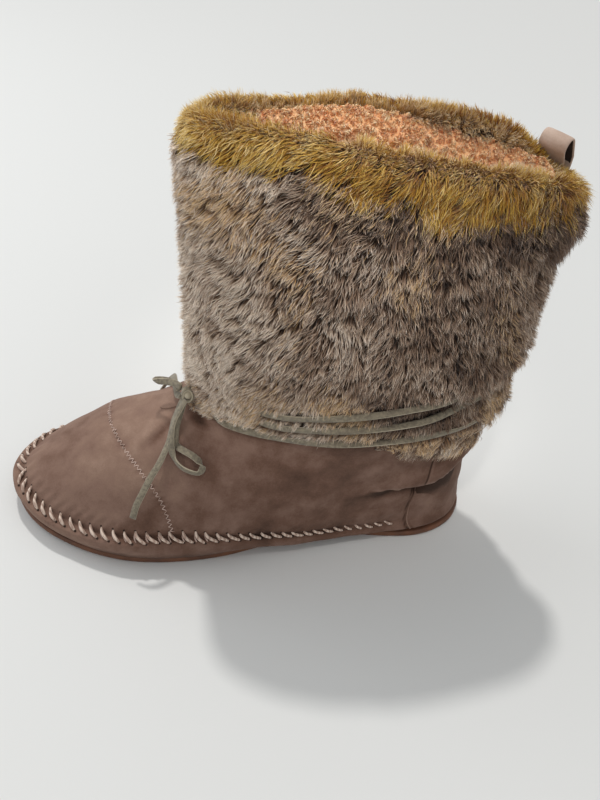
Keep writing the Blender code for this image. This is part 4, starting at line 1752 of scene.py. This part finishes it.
def collar_directions(turn, drop):
    """Unit vectors around, down and out of the collar's skin."""
    step, small = 0.004, 0.3
    around = collar_points(turn + step, drop) - collar_points(turn - step, drop)
    down = collar_points(turn, drop + small) - collar_points(turn, drop - small)
    out = unit(np.cross(down, around))
    around = unit(around)
    return around, np.cross(around, out), out


def under_loop(places):
    """Whether places lie under the pull loop's outer leg or between its two legs."""
    from_foot = places - rim_point(LOOP_TURN)[0]
    across = np.array((-LOOP_OUTWARD[1], LOOP_OUTWARD[0], 0.0))
    margin, inner_leg, leg_end = 0.5, -6.0, -24.0
    beside = np.abs(from_foot @ across) < LOOP_WIDTH / 2 + margin
    return beside & (from_foot @ LOOP_OUTWARD > inner_leg) & (from_foot[..., 2] > leg_end)


def hem_height(turn):
    """Height of the suede's top edge round the ankle."""
    top = upper_points(turn, np.ones_like(turn))
    return top[..., 2] + suede_rise(top[..., 0])


def lace_under(turn, height):
    """Room from each height down to the top edge of the next round of the thong below it."""
    room = np.full_like(height, 1e3)
    inside = np.zeros_like(height, dtype=bool)
    half = 1.7
    for lap in range(4):
        turns = (turn % TAU) / TAU + lap
        there = (turns > LACE_FIRST_TURN) & (turns < LACE_LAST_TURN)
        turns = np.clip(turns, LACE_FIRST_TURN, LACE_LAST_TURN)
        there &= lace_shown(turns) > 0.4
        gap = height - (lace_height(turns) + half)
        below = there & (gap >= 0)
        room = np.where(below, np.minimum(room, gap), room)
        inside |= there & (gap < 0) & (gap > -2 * half)
    return room, inside


def tufts(roots, spacing, seed):
    """Way from each root to the middle of its tuft, and three random numbers for each tuft."""
    rng = np.random.default_rng(seed)
    extent = np.linalg.norm(np.ptp(roots, axis=0)[:2]) * np.ptp(roots[:, 2])
    wanted = int(min(extent * 1.1 / spacing**2, len(roots) / 4))
    middles = roots[rng.choice(len(roots), wanted, replace=False)]
    tree = kdtree.KDTree(wanted)
    for k, middle in enumerate(middles):
        tree.insert(middle, k)
    tree.balance()
    nearest = np.array([tree.find(root)[1] for root in roots])
    return middles[nearest] - roots, rng.normal(size=(wanted, 3))[nearest]


def pile(name, roots, frame_ways, shape, tone, look, seed, width=1.0):
    """Strands of pile from their roots: shape holds length, lift, lean, gather and bend."""
    rng = np.random.default_rng(seed)
    around, down, out = frame_ways
    length, lift, lean, gather, bend = shape
    fall = np.sqrt(np.maximum(length**2 - lift**2, 0.5))
    way = down * np.cos(lean)[:, None] + around * np.sin(lean)[:, None]
    tip = roots + out * lift[:, None] + way * fall[:, None] + gather
    # Half way up a strand it has fallen and gathered less, so that it bends over
    middle_fall, middle_gather = 0.42, 0.35
    middle = roots + out * (lift * (0.5 + bend))[:, None] + way * (fall * middle_fall)[:, None]
    middle = middle + gather * middle_gather
    heading = unit(tip - middle)
    flat = unit(np.cross(heading, out + 0.01 * around))
    roll = rng.normal(size=len(roots)) * 0.7
    side = flat * np.cos(roll)[:, None] + np.cross(heading, flat) * np.sin(roll)[:, None]
    half = settings().fibre_width / MM / 2 * width
    side = side * half * rng.uniform(0.7, 1.3, len(roots))[:, None]
    strands_piece(name, (roots, middle, tip), side, tone, look)


def random_turns(rng, ring_level, count, low_turn=0.0, high_turn=TAU):
    """Random turns between two, evenly spread by distance round one ring of the shaft."""
    turns, walked = turns_by_distance(shaft_points, ring_level)
    low, high = np.interp((low_turn, high_turn), turns, walked)
    return np.interp(rng.uniform(low, high, count), walked, turns)


def sideways(turn):
    """How much places at these turns face sideways: 1 outer side, -1 inner side."""
    return np.sign(np.sin(turn)) * np.sqrt(np.abs(np.sin(turn)))


def body_fur(name, low_turn, high_turn, count, seed):
    """Fur of one side of the shaft: short tufts that lean all ways and fall towards the toe."""
    rng = np.random.default_rng(seed)
    turn = random_turns(rng, 0.6, count, low_turn, high_turn)
    level = rng.uniform(0.0, 1.0, count) ** 0.95
    surface = shaft_points(turn, level)
    height = surface[..., 2]
    rim_gap = rim_point(turn)[..., 2] - height
    ochre = band_share(turn, rim_gap, surface)
    room, inside = lace_under(turn, height)
    folded = from_toe(turn)
    # Under the roll behind the ankle the pile is tucked in
    roll_foot = 83 + 8 * ease(-14, -32, surface[..., 0])
    under_roll = np.minimum(room, height - roll_foot)
    room = np.where((folded > 2.2) & (height > roll_foot), under_roll, room)
    bare = (height < hem_height(turn) + 0.5) & (folded < 1.9)
    stays = (rng.uniform(size=count) > ochre) & ~inside & ~bare & (rim_gap > 5)
    stays &= ~under_loop(surface)
    turn, level, height, room, rim_gap, folded = (
        array[stays] for array in (turn, level, height, room, rim_gap, folded)
    )
    surface = surface[stays]
    count = len(turn)

    root = skin_points(turn, level)
    around, up, out = directions(shaft_points, turn, level)
    to_middle, tuft = tufts(root, 3.6, seed + 100)
    x = root[..., 0]
    lean = np.radians(10 + 34 * ease(-20, 100, x)) * sideways(turn)
    lean = lean + np.radians(15) * waviness(surface, 14, seed=31)
    lean = lean + np.radians(12) * tuft[:, 0] + np.radians(12) * rng.normal(size=count)
    hem = ease(0.0, 0.28, level)
    length = settings().pile_length / MM * (1 + 0.12 * tuft[:, 1]) * rng.uniform(0.82, 1.12, count)
    depth = HEM_DEPTH + (SKIN_DEPTH - HEM_DEPTH) * hem
    lift = depth + 0.6 * hem + 0.9 * tuft[:, 2] + 0.6 * rng.normal(size=count)
    lift = np.maximum(lift, 1.0)
    # The pile over the thong ends on its top edge, and over the suede just below its edge
    room = np.minimum(room, np.where(folded < 1.9, height - hem_height(turn) + 1.0, 1e3))
    fall = np.sqrt(np.maximum(length**2 - lift**2, 1.0))
    squeeze = np.clip((room + 1.6) / fall, 0.18, 1)
    lift = lift * (0.5 + 0.5 * squeeze)
    length = np.sqrt(lift**2 + (fall * squeeze) ** 2)
    gather = to_middle * (0.6 * rng.uniform(0.1, 1.0, count))[:, None]
    patch = waviness(surface, 9, seed=41) + 0.6 * waviness(surface, 24, seed=40)
    # Painted light: the pile is lighter towards the front, where the window light falls, with
    # random patches of tone
    tone = 0.27 + 0.41 * ease(15, 130, x) + 0.12 * patch
    tone = np.clip(tone + 0.07 * tuft[:, 2] + 0.17 * rng.normal(size=count), 0, 0.82)
    # Between the rounds of the thong the pile is pressed flat, and painted shade darkens it there
    shade_between_rounds = ease(1.2, 1.4, folded) * ease(112, 104, height) * (turn < math.pi)
    tone = np.clip(tone - 0.16 * shade_between_rounds, 0, 1)
    warm = waviness(surface, 22, seed=43) + 0.9 * ease(105, 140, x) * ease(140, 100, height)
    warm = warm + 1.4 * ease(34, 20, rim_gap) + 2.0 * ease(14, -16, x) * ease(118, 108, height)
    # The collar's fur shades the pile just below it
    tone = np.clip(tone - 0.28 * ease(44, 20, rim_gap) * ease(120, 80, x), 0, 1)
    golden = warm + 0.5 * rng.normal(size=count) > 1.5
    tone = np.where(golden, rng.uniform(0.88, 1.0, count), tone)
    ways = (-around, -up, out)
    bend = 0.20 + 0.06 * rng.normal(size=count)
    shape = (length, lift, lean, gather, bend)
    pile(name, root, ways, shape, tone, "grey_brown_acrylic_pile", seed + 200)


def band_share(turn, drop, places):
    """Share of ochre fibres at a drop below the rim: 1 in the collar's band, 0 below it."""
    depth = look_up(BAND_DROPS, turn, TAU)
    depth = depth + 1.6 * waviness(places, 15, seed=22) + 1.2 * waviness(places, 5, seed=23)
    return ease(6, -4, drop - depth)


def collar_fur(name, count, seed):
    """Ochre band round the collar: curved tufts, swept towards the toe in front."""
    rng = np.random.default_rng(seed)
    turn = random_turns(rng, 0.95, count)
    drop = rng.uniform(-1.0, 23, count)
    root = collar_points(turn, drop)
    stays = rng.uniform(size=count) < np.where(drop < 4, 1.0, band_share(turn, drop, root))
    stays &= ~under_loop(root)
    turn, drop, root = turn[stays], drop[stays], root[stays]
    count = len(turn)
    around, down, out = collar_directions(turn, drop)
    to_middle, tuft = tufts(root, 4.4, seed + 100)
    x = root[..., 0]
    lean = -np.radians(14 + 36 * ease(-10, 100, x)) * sideways(turn)
    lean = lean + np.radians(20) * waviness(root, 18, seed=32)
    lean = lean + np.radians(14) * tuft[:, 0] + np.radians(14) * rng.normal(size=count)
    crest = ease(9, 0, drop)
    length = (11.0 - 3.5 * crest) * (1 + 0.08 * tuft[:, 1]) * rng.uniform(0.75, 1.15, count)
    lift = (5.8 - 0.6 * crest) + 0.7 * tuft[:, 2] + 0.9 * rng.normal(size=count)
    lift = np.clip(lift, 1.5, length * 0.97)
    gather = to_middle * (0.5 * rng.uniform(0.1, 1.0, count))[:, None]
    tone = 0.31 + 0.12 * waviness(root, 9, seed=42) + 0.07 * tuft[:, 2]
    # Painted light: the band is lighter towards the front, where the window light falls
    tone = tone + 0.17 * rng.normal(size=count) + 0.26 * ease(40, 140, x)
    tone = tone + 0.3 * (rng.uniform(size=count) < 0.14)
    tone = np.clip(tone, 0, 0.84)
    bend = 0.24 + 0.08 * rng.normal(size=count)
    ways = (around, down, out)
    shape = (length, lift, lean, gather, bend)
    pile(name, root, ways, shape, tone, "ochre_acrylic_pile", seed + 200)


def rim_fur(name, count, seed):
    """Fuzz on the collar's crest that stands up and hides the lining's edge."""
    rng = np.random.default_rng(seed)
    turn = random_turns(rng, 1.0, count)
    drop = rng.uniform(-BAND_DROP, 5.0, count)
    root = collar_points(turn, drop)
    stays = ~under_loop(root)
    turn, drop, root = turn[stays], drop[stays], root[stays]
    count = len(turn)
    around, down, out = collar_directions(turn, drop)
    to_middle, tuft = tufts(root, 3.4, seed + 100)
    inner = ease(-2, -9, drop)
    length = 5.4 + 1.4 * tuft[:, 1] + 1.6 * waviness(root, 14, seed=47) - 1.0 * inner
    length = length * np.where(rng.uniform(size=count) < 0.06, 1.5, 1.0)
    length = np.clip(length * rng.uniform(0.75, 1.2, count), 2.5, 9.0)
    lift = length * np.clip(0.93 + 0.05 * tuft[:, 2], 0.7, 0.995)
    lean = rng.uniform(0, TAU, count)
    gather = to_middle * 0.5
    # Pale pinkish fuzz lines the inner edge; behind, it reaches further up the inner flank, partly
    # its own colour and partly painted light on a flank in shade
    behind = ease(50, 0, root[:, 0])
    edge = drop + 2.0 * rng.normal(size=count)
    pinkish = ease(-3.5 + 3.0 * behind, -8.0 + 3.5 * behind, edge)
    tone = 0.45 + 0.12 * waviness(root, 9, seed=44) + 0.15 * rng.normal(size=count)
    pale = rng.uniform(size=count) < 0.12 + 0.75 * pinkish
    tone = np.where(pale, 0.97, np.clip(tone, 0, 0.84))
    bend = np.full(count, 0.1)
    ways = (around, down, out)
    shape = (length, lift, lean, gather, bend)
    pile(name, root, ways, shape, tone, "ochre_acrylic_pile", seed + 200, width=0.8)


def hem_fur(name, count, seed):
    """Pale-tipped tufts that hang below the thong behind the ankle."""
    rng = np.random.default_rng(seed)
    turn = random_turns(rng, 0.1, count, 1.7, TAU - 1.7)
    folded = from_toe(turn)
    hem = shaft_points(turn, np.zeros_like(turn))[..., 2]
    # Behind, under the roll, they start lower
    highest = lace_height(turn / TAU) - 2.0 - 8.0 * ease(2.5, 2.9, folded)
    height = hem + (highest - hem) * rng.uniform(0.15, 1.0, count)
    level = level_at_height(shaft_points, turn, height)
    around, up, out = directions(shaft_points, turn, level)
    root = shaft_points(turn, level) + out * (slouch(turn, level) - HEM_DEPTH)[:, None]
    to_middle, tuft = tufts(root, 4.6, seed + 100)
    length = rng.uniform(7, 11, count) * ease(1.65, 2.2, folded) * (1 + 0.2 * tuft[:, 1])
    length = np.maximum(length, 1.5)
    lean = 12 * waviness(root, 12, seed=33) + 16 * tuft[:, 0] + 9 * rng.normal(size=count)
    lean = np.radians(lean)
    lift = 2.4 + 2.0 * ease(2.3, 2.8, folded) + 0.9 * tuft[:, 2] + 0.8 * rng.normal(size=count)
    lift = np.clip(lift, 0.6, length * 0.9)
    tone = 0.52 + 0.16 * waviness(root, 10, seed=45) + 0.12 * tuft[:, 2]
    tone = tone + 0.14 * rng.normal(size=count)
    warm = 0.7 * waviness(root, 14, seed=46) + 0.4 * rng.normal(size=count)
    warm = warm + 1.2 * ease(-4, -22, root[:, 0]) > 0.45
    tone = np.where(warm, rng.uniform(0.88, 1.0, count), np.clip(tone, 0, 0.82))
    bend = np.full(count, 0.45)
    ways = (-around, -up, out)
    shape = (length, lift, lean, to_middle * 0.6, bend)
    pile(name, root, ways, shape, tone, "grey_brown_acrylic_pile", seed + 200)


def make_fur_shaft():
    """The shaft's backing and its fur, side by side pieces of many fibres."""
    band_from = 0.62

    def shape(across, along):
        turn = across * TAU
        top = level_at_height(shaft_points, turn, rim_point(turn)[..., 2] - BAND_DROP)
        wall = skin_points(turn, top * np.clip(along / band_from, 0, 1))
        over = np.clip((along - band_from) / (1 - band_from), 0, 1)
        drop = BAND_DROP - 2 * BAND_DROP * over
        collar = collar_points(turn, np.minimum(drop, BAND_DROP - 0.01))
        return np.where((along > band_from)[:, None], collar, wall)

    grid_piece(
        "shaft_backing",
        130,
        76,
        shape,
        "dark_knit_backing",
        ("shaft",),
        closed=True,
    )
    count = settings().fibre_count // 4
    body_fur("shaft_fur_front_outer", 0.0, 0.25 * math.pi, count // 2, 51)
    body_fur("shaft_fur_front_inner", 1.75 * math.pi, TAU, count // 2, 52)
    body_fur("shaft_fur_outer", 0.25 * math.pi, 0.75 * math.pi, count, 54)
    body_fur("shaft_fur_back", 0.75 * math.pi, 1.25 * math.pi, count, 55)
    body_fur("shaft_fur_inner", 1.25 * math.pi, 1.75 * math.pi, count, 56)
    collar_fur("collar_fur", COLLAR_FIBRES, 61)
    rim_fur("collar_rim_fur", RIM_FIBRES, 62)
    hem_fur("ankle_tufts", ANKLE_FIBRES, 63)


# ---------------------------------------------------------------- lining


def lining_points(turn, along):
    """Points on the sherpa lining, from its top edge over a soft shoulder down inside.

    The way that the pile faces at each point comes with them.
    """
    edge = lining_edge(turn)
    rim = rim_point(turn)
    hem = shaft_points(turn, np.zeros_like(turn))
    # Most rows lie in the upper part, which shows, and the last one ends above the hem
    upper_part, above_hem = 60.0, 14.0
    rest = rim[..., 2] - hem[..., 2] - (upper_part + above_hem)
    depth = upper_part * along + rest * ease(0.3, 1.0, along) * along
    level = level_at_height(shaft_points, turn, edge[..., 2] - depth)
    out = outward(shaft_points, turn, level)
    wall = shaft_points(turn, level) - out * 9.0
    # The soft shoulder swells inwards below the edge and then follows the shaft's wall
    follow = ease(4.0, 60.0, depth)[..., None]
    swell = 9.0 * np.sin(math.pi / 2 * np.clip(depth / 14.0, 0, 1)) ** 0.8
    swell = swell * ease(46.0, 16.0, depth)
    flat_out = unit(out * np.array((1, 1, 0)))
    points = edge + (wall - edge) * follow - flat_out * swell[..., None]
    points[..., 2] = edge[..., 2] - depth
    facing = unit(np.array((0, 0, 1.0)) * ease(16.0, 0.0, depth)[..., None] - flat_out)
    nub = waviness(points, 1.5, seed=71) + 0.7 * waviness(points, 3.5, seed=72)
    return points + facing * (0.5 * nub)[..., None], facing


def make_lining():
    """Peach sherpa: a nubbly inner wall, its short curls and the insole's top."""
    grid_piece(
        "sherpa_wall",
        260,
        64,
        lambda across, along: lining_points(across * TAU, along**1.7)[0],
        "peach_knit_backing",
        closed=True,
    )

    def foot_lining(across, along):
        turn, level = across * TAU, 0.98 - 0.86 * along
        out = outward(upper_points, turn, level)
        points = upper_points(turn, level) - out * 3.6
        return points + out * (0.4 * waviness(points, 3.0, seed=73))[..., None]

    grid_piece(
        "sherpa_foot_wall",
        110,
        30,
        foot_lining,
        "peach_knit_backing",
        closed=True,
    )

    def insole(across, along):
        turn = across * TAU
        section = ((0, 1.0, 4.9), (0.3, 0, 4.9), (0.36, 0, 6.0), (0.42, 0.02, 7.6), (1, 1.0, 7.9))
        shrink, height = (
            np.interp(along, [row[0] for row in section], [row[k] for row in section])
            for k in (1, 2)
        )
        points = sole_points(turn, 4.4 + 0 * turn, shrink, height)
        points[..., 2] += 0.25 * waviness(points, 3.0, seed=74) * ease(0.4, 0.5, along)
        return points

    grid_piece(
        "sherpa_insole",
        110,
        36,
        insole,
        "peach_knit_backing",
        ("insole",),
        closed=True,
    )

    rng = np.random.default_rng(75)
    count = LINING_CURLS
    turn = random_turns(rng, 1.0, count)
    along = 0.42 * rng.uniform(0, 1, count) ** 1.7
    root, inward = lining_points(turn, along)
    to_middle, nub = tufts(root, 2.6, 175)
    curl = unit(rng.normal(size=(count, 3)))
    length = rng.uniform(1.6, 2.8, count)[:, None] * (1 + 0.25 * nub[:, :1])
    gather = to_middle * 0.55
    middle = root + inward * length * 0.75 + curl * 0.5 + gather * 0.6
    tip = middle + inward * length * 0.2 + unit(np.cross(curl, inward)) * 0.9 + gather * 0.4
    side = unit(np.cross(tip - middle, curl)) * 0.34
    tone = 0.5 + 0.16 * nub[:, 1] + 0.2 * rng.normal(size=count)
    strands_piece(
        "sherpa_curls",
        (root, middle, tip),
        side,
        tone,
        "peach_sherpa_pile",
    )


# ---------------------------------------------------------------- pull loop


def make_pull_loop():
    """Suede strap folded into a loop: one leg inside the collar, one down over its fur."""
    thick, gap_inside, rise = 1.4, 6.6, 8.4
    foot = rim_point(LOOP_TURN)[0]
    # The loop leans in over the opening
    lean = math.radians(34)
    out = LOOP_OUTWARD * math.cos(lean) + np.array((0.0, 0.0, math.sin(lean)))
    up = np.array((0.0, 0.0, math.cos(lean))) - LOOP_OUTWARD * math.sin(lean)
    radius = (gap_inside + thick) / 2
    top = rise + 1.2 - radius - thick / 2
    across = np.cross(up, out)

    def add_leg_to_leg(name, radius, width, thick, look, node_names=()):
        # Below the rim the outer leg lies on the fur and its end sinks into the pile
        low_end = ((-1.0, -29.0), (3.5, -23.5), (6.5, -17.0), (7.6, -10.5))
        route = [
            foot + LOOP_OUTWARD * outward + np.array((0.0, 0.0, height))
            for outward, height in low_end
        ]
        route += [foot + out * radius + up * way for way in np.linspace(-6, top, 7)]
        centre = foot + up * top
        for angle in np.linspace(0, math.pi, 11)[1:-1]:
            route.append(centre + out * radius * math.cos(angle) + up * radius * math.sin(angle))
        route += [foot - out * radius + up * way for way in np.linspace(top, -10, 8)]
        route = smooth_route(route, 0.9)
        heading = unit(np.gradient(route, axis=0))
        facing = np.cross(np.broadcast_to(across, heading.shape), heading)
        strap_piece(name, route, -facing, width, thick, look, node_names)

    add_leg_to_leg(
        "pull_loop_strap", radius, LOOP_WIDTH, thick, "pinkish_tab_suede", ("pull_loop",)
    )
    # A dark sheet of painted shade inside the loop, where its hole lies in shadow
    shade_sheet = 0.4
    add_leg_to_leg(
        "pull_loop_painted_shade",
        radius - (thick + shade_sheet) / 2 + 0.1,
        LOOP_WIDTH - 1.2,
        shade_sheet,
        "dark_stretched_suede",
    )


# ---------------------------------------------------------------- operators


class BOOT_OT_make_stage(bpy.types.Operator):
    """Make the camera, the pale floor and the lights"""

    bl_idname = "boot.make_stage"
    bl_label = "Stage"

    def execute(self, context):
        make_stage()
        return {"FINISHED"}


class BOOT_OT_make_laces(bpy.types.Operator):
    """Tie the suede thong: its bow, its ends and its rounds above the ankle"""

    bl_idname = "boot.make_laces"
    bl_label = "Thong bow and rounds"

    def execute(self, context):
        make_bow()
        make_ankle_rounds()
        return {"FINISHED"}


class BOOT_OT_make_foot(bpy.types.Operator):
    """Make the suede foot, its heel piece and the tongue tab"""

    bl_idname = "boot.make_foot"
    bl_label = "Suede foot"

    def execute(self, context):
        make_suede_foot()
        make_heel_piece()
        make_tongue_tab()
        return {"FINISHED"}


class BOOT_OT_make_sole(bpy.types.Operator):
    """Make the rubber outsole"""

    bl_idname = "boot.make_sole"
    bl_label = "Outsole"

    def execute(self, context):
        make_outsole()
        return {"FINISHED"}


class BOOT_OT_make_stitches(bpy.types.Operator):
    """Sew the whip stitches and the zigzag seam across the vamp"""

    bl_idname = "boot.make_stitches"
    bl_label = "Stitching"

    def execute(self, context):
        make_whip_stitches()
        make_zigzag_seam()
        return {"FINISHED"}


class BOOT_OT_make_fur(bpy.types.Operator):
    """Make the shaft's backing and its fur"""

    bl_idname = "boot.make_fur"
    bl_label = "Fur shaft"

    def execute(self, context):
        make_fur_shaft()
        return {"FINISHED"}


class BOOT_OT_make_lining(bpy.types.Operator):
    """Make the sherpa lining, its curls and the insole"""

    bl_idname = "boot.make_lining"
    bl_label = "Sherpa lining"

    def execute(self, context):
        make_lining()
        return {"FINISHED"}


class BOOT_OT_make_loop(bpy.types.Operator):
    """Make the pull loop on the collar"""

    bl_idname = "boot.make_loop"
    bl_label = "Pull loop"

    def execute(self, context):
        make_pull_loop()
        return {"FINISHED"}


OPERATORS = (
    BOOT_OT_make_stage,
    BOOT_OT_make_laces,
    BOOT_OT_make_foot,
    BOOT_OT_make_sole,
    BOOT_OT_make_stitches,
    BOOT_OT_make_fur,
    BOOT_OT_make_lining,
    BOOT_OT_make_loop,
)


class BOOT_PT_sidebar(bpy.types.Panel):
    """Sidebar tab with the boot's settings and pieces"""

    bl_label = "Moccasin boot"
    bl_space_type = "VIEW_3D"
    bl_region_type = "UI"
    bl_category = "Boot"

    def draw(self, context):
        for field in BootSettings.__annotations__:
            self.layout.prop(context.scene.boot_settings, field)
        for operator in OPERATORS:
            self.layout.operator(operator.bl_idname)


def register():
    """Make the settings, the operators and the panel known."""
    for cls in (BootSettings, *OPERATORS, BOOT_PT_sidebar):
        bpy.utils.register_class(cls)
    bpy.types.Scene.boot_settings = bpy.props.PointerProperty(type=BootSettings)


def unregister():
    """Take the panel, the operators and the settings away again."""
    del bpy.types.Scene.boot_settings
    for cls in (BOOT_PT_sidebar, *reversed(OPERATORS), BootSettings):
        bpy.utils.unregister_class(cls)


def main():
    """Make every piece in order."""
    register()
    bpy.ops.boot.make_stage()
    bpy.ops.boot.make_laces()
    bpy.ops.boot.make_foot()
    bpy.ops.boot.make_sole()
    bpy.ops.boot.make_stitches()
    bpy.ops.boot.make_fur()
    bpy.ops.boot.make_lining()
    bpy.ops.boot.make_loop()


if __name__ == "__main__":
    main()
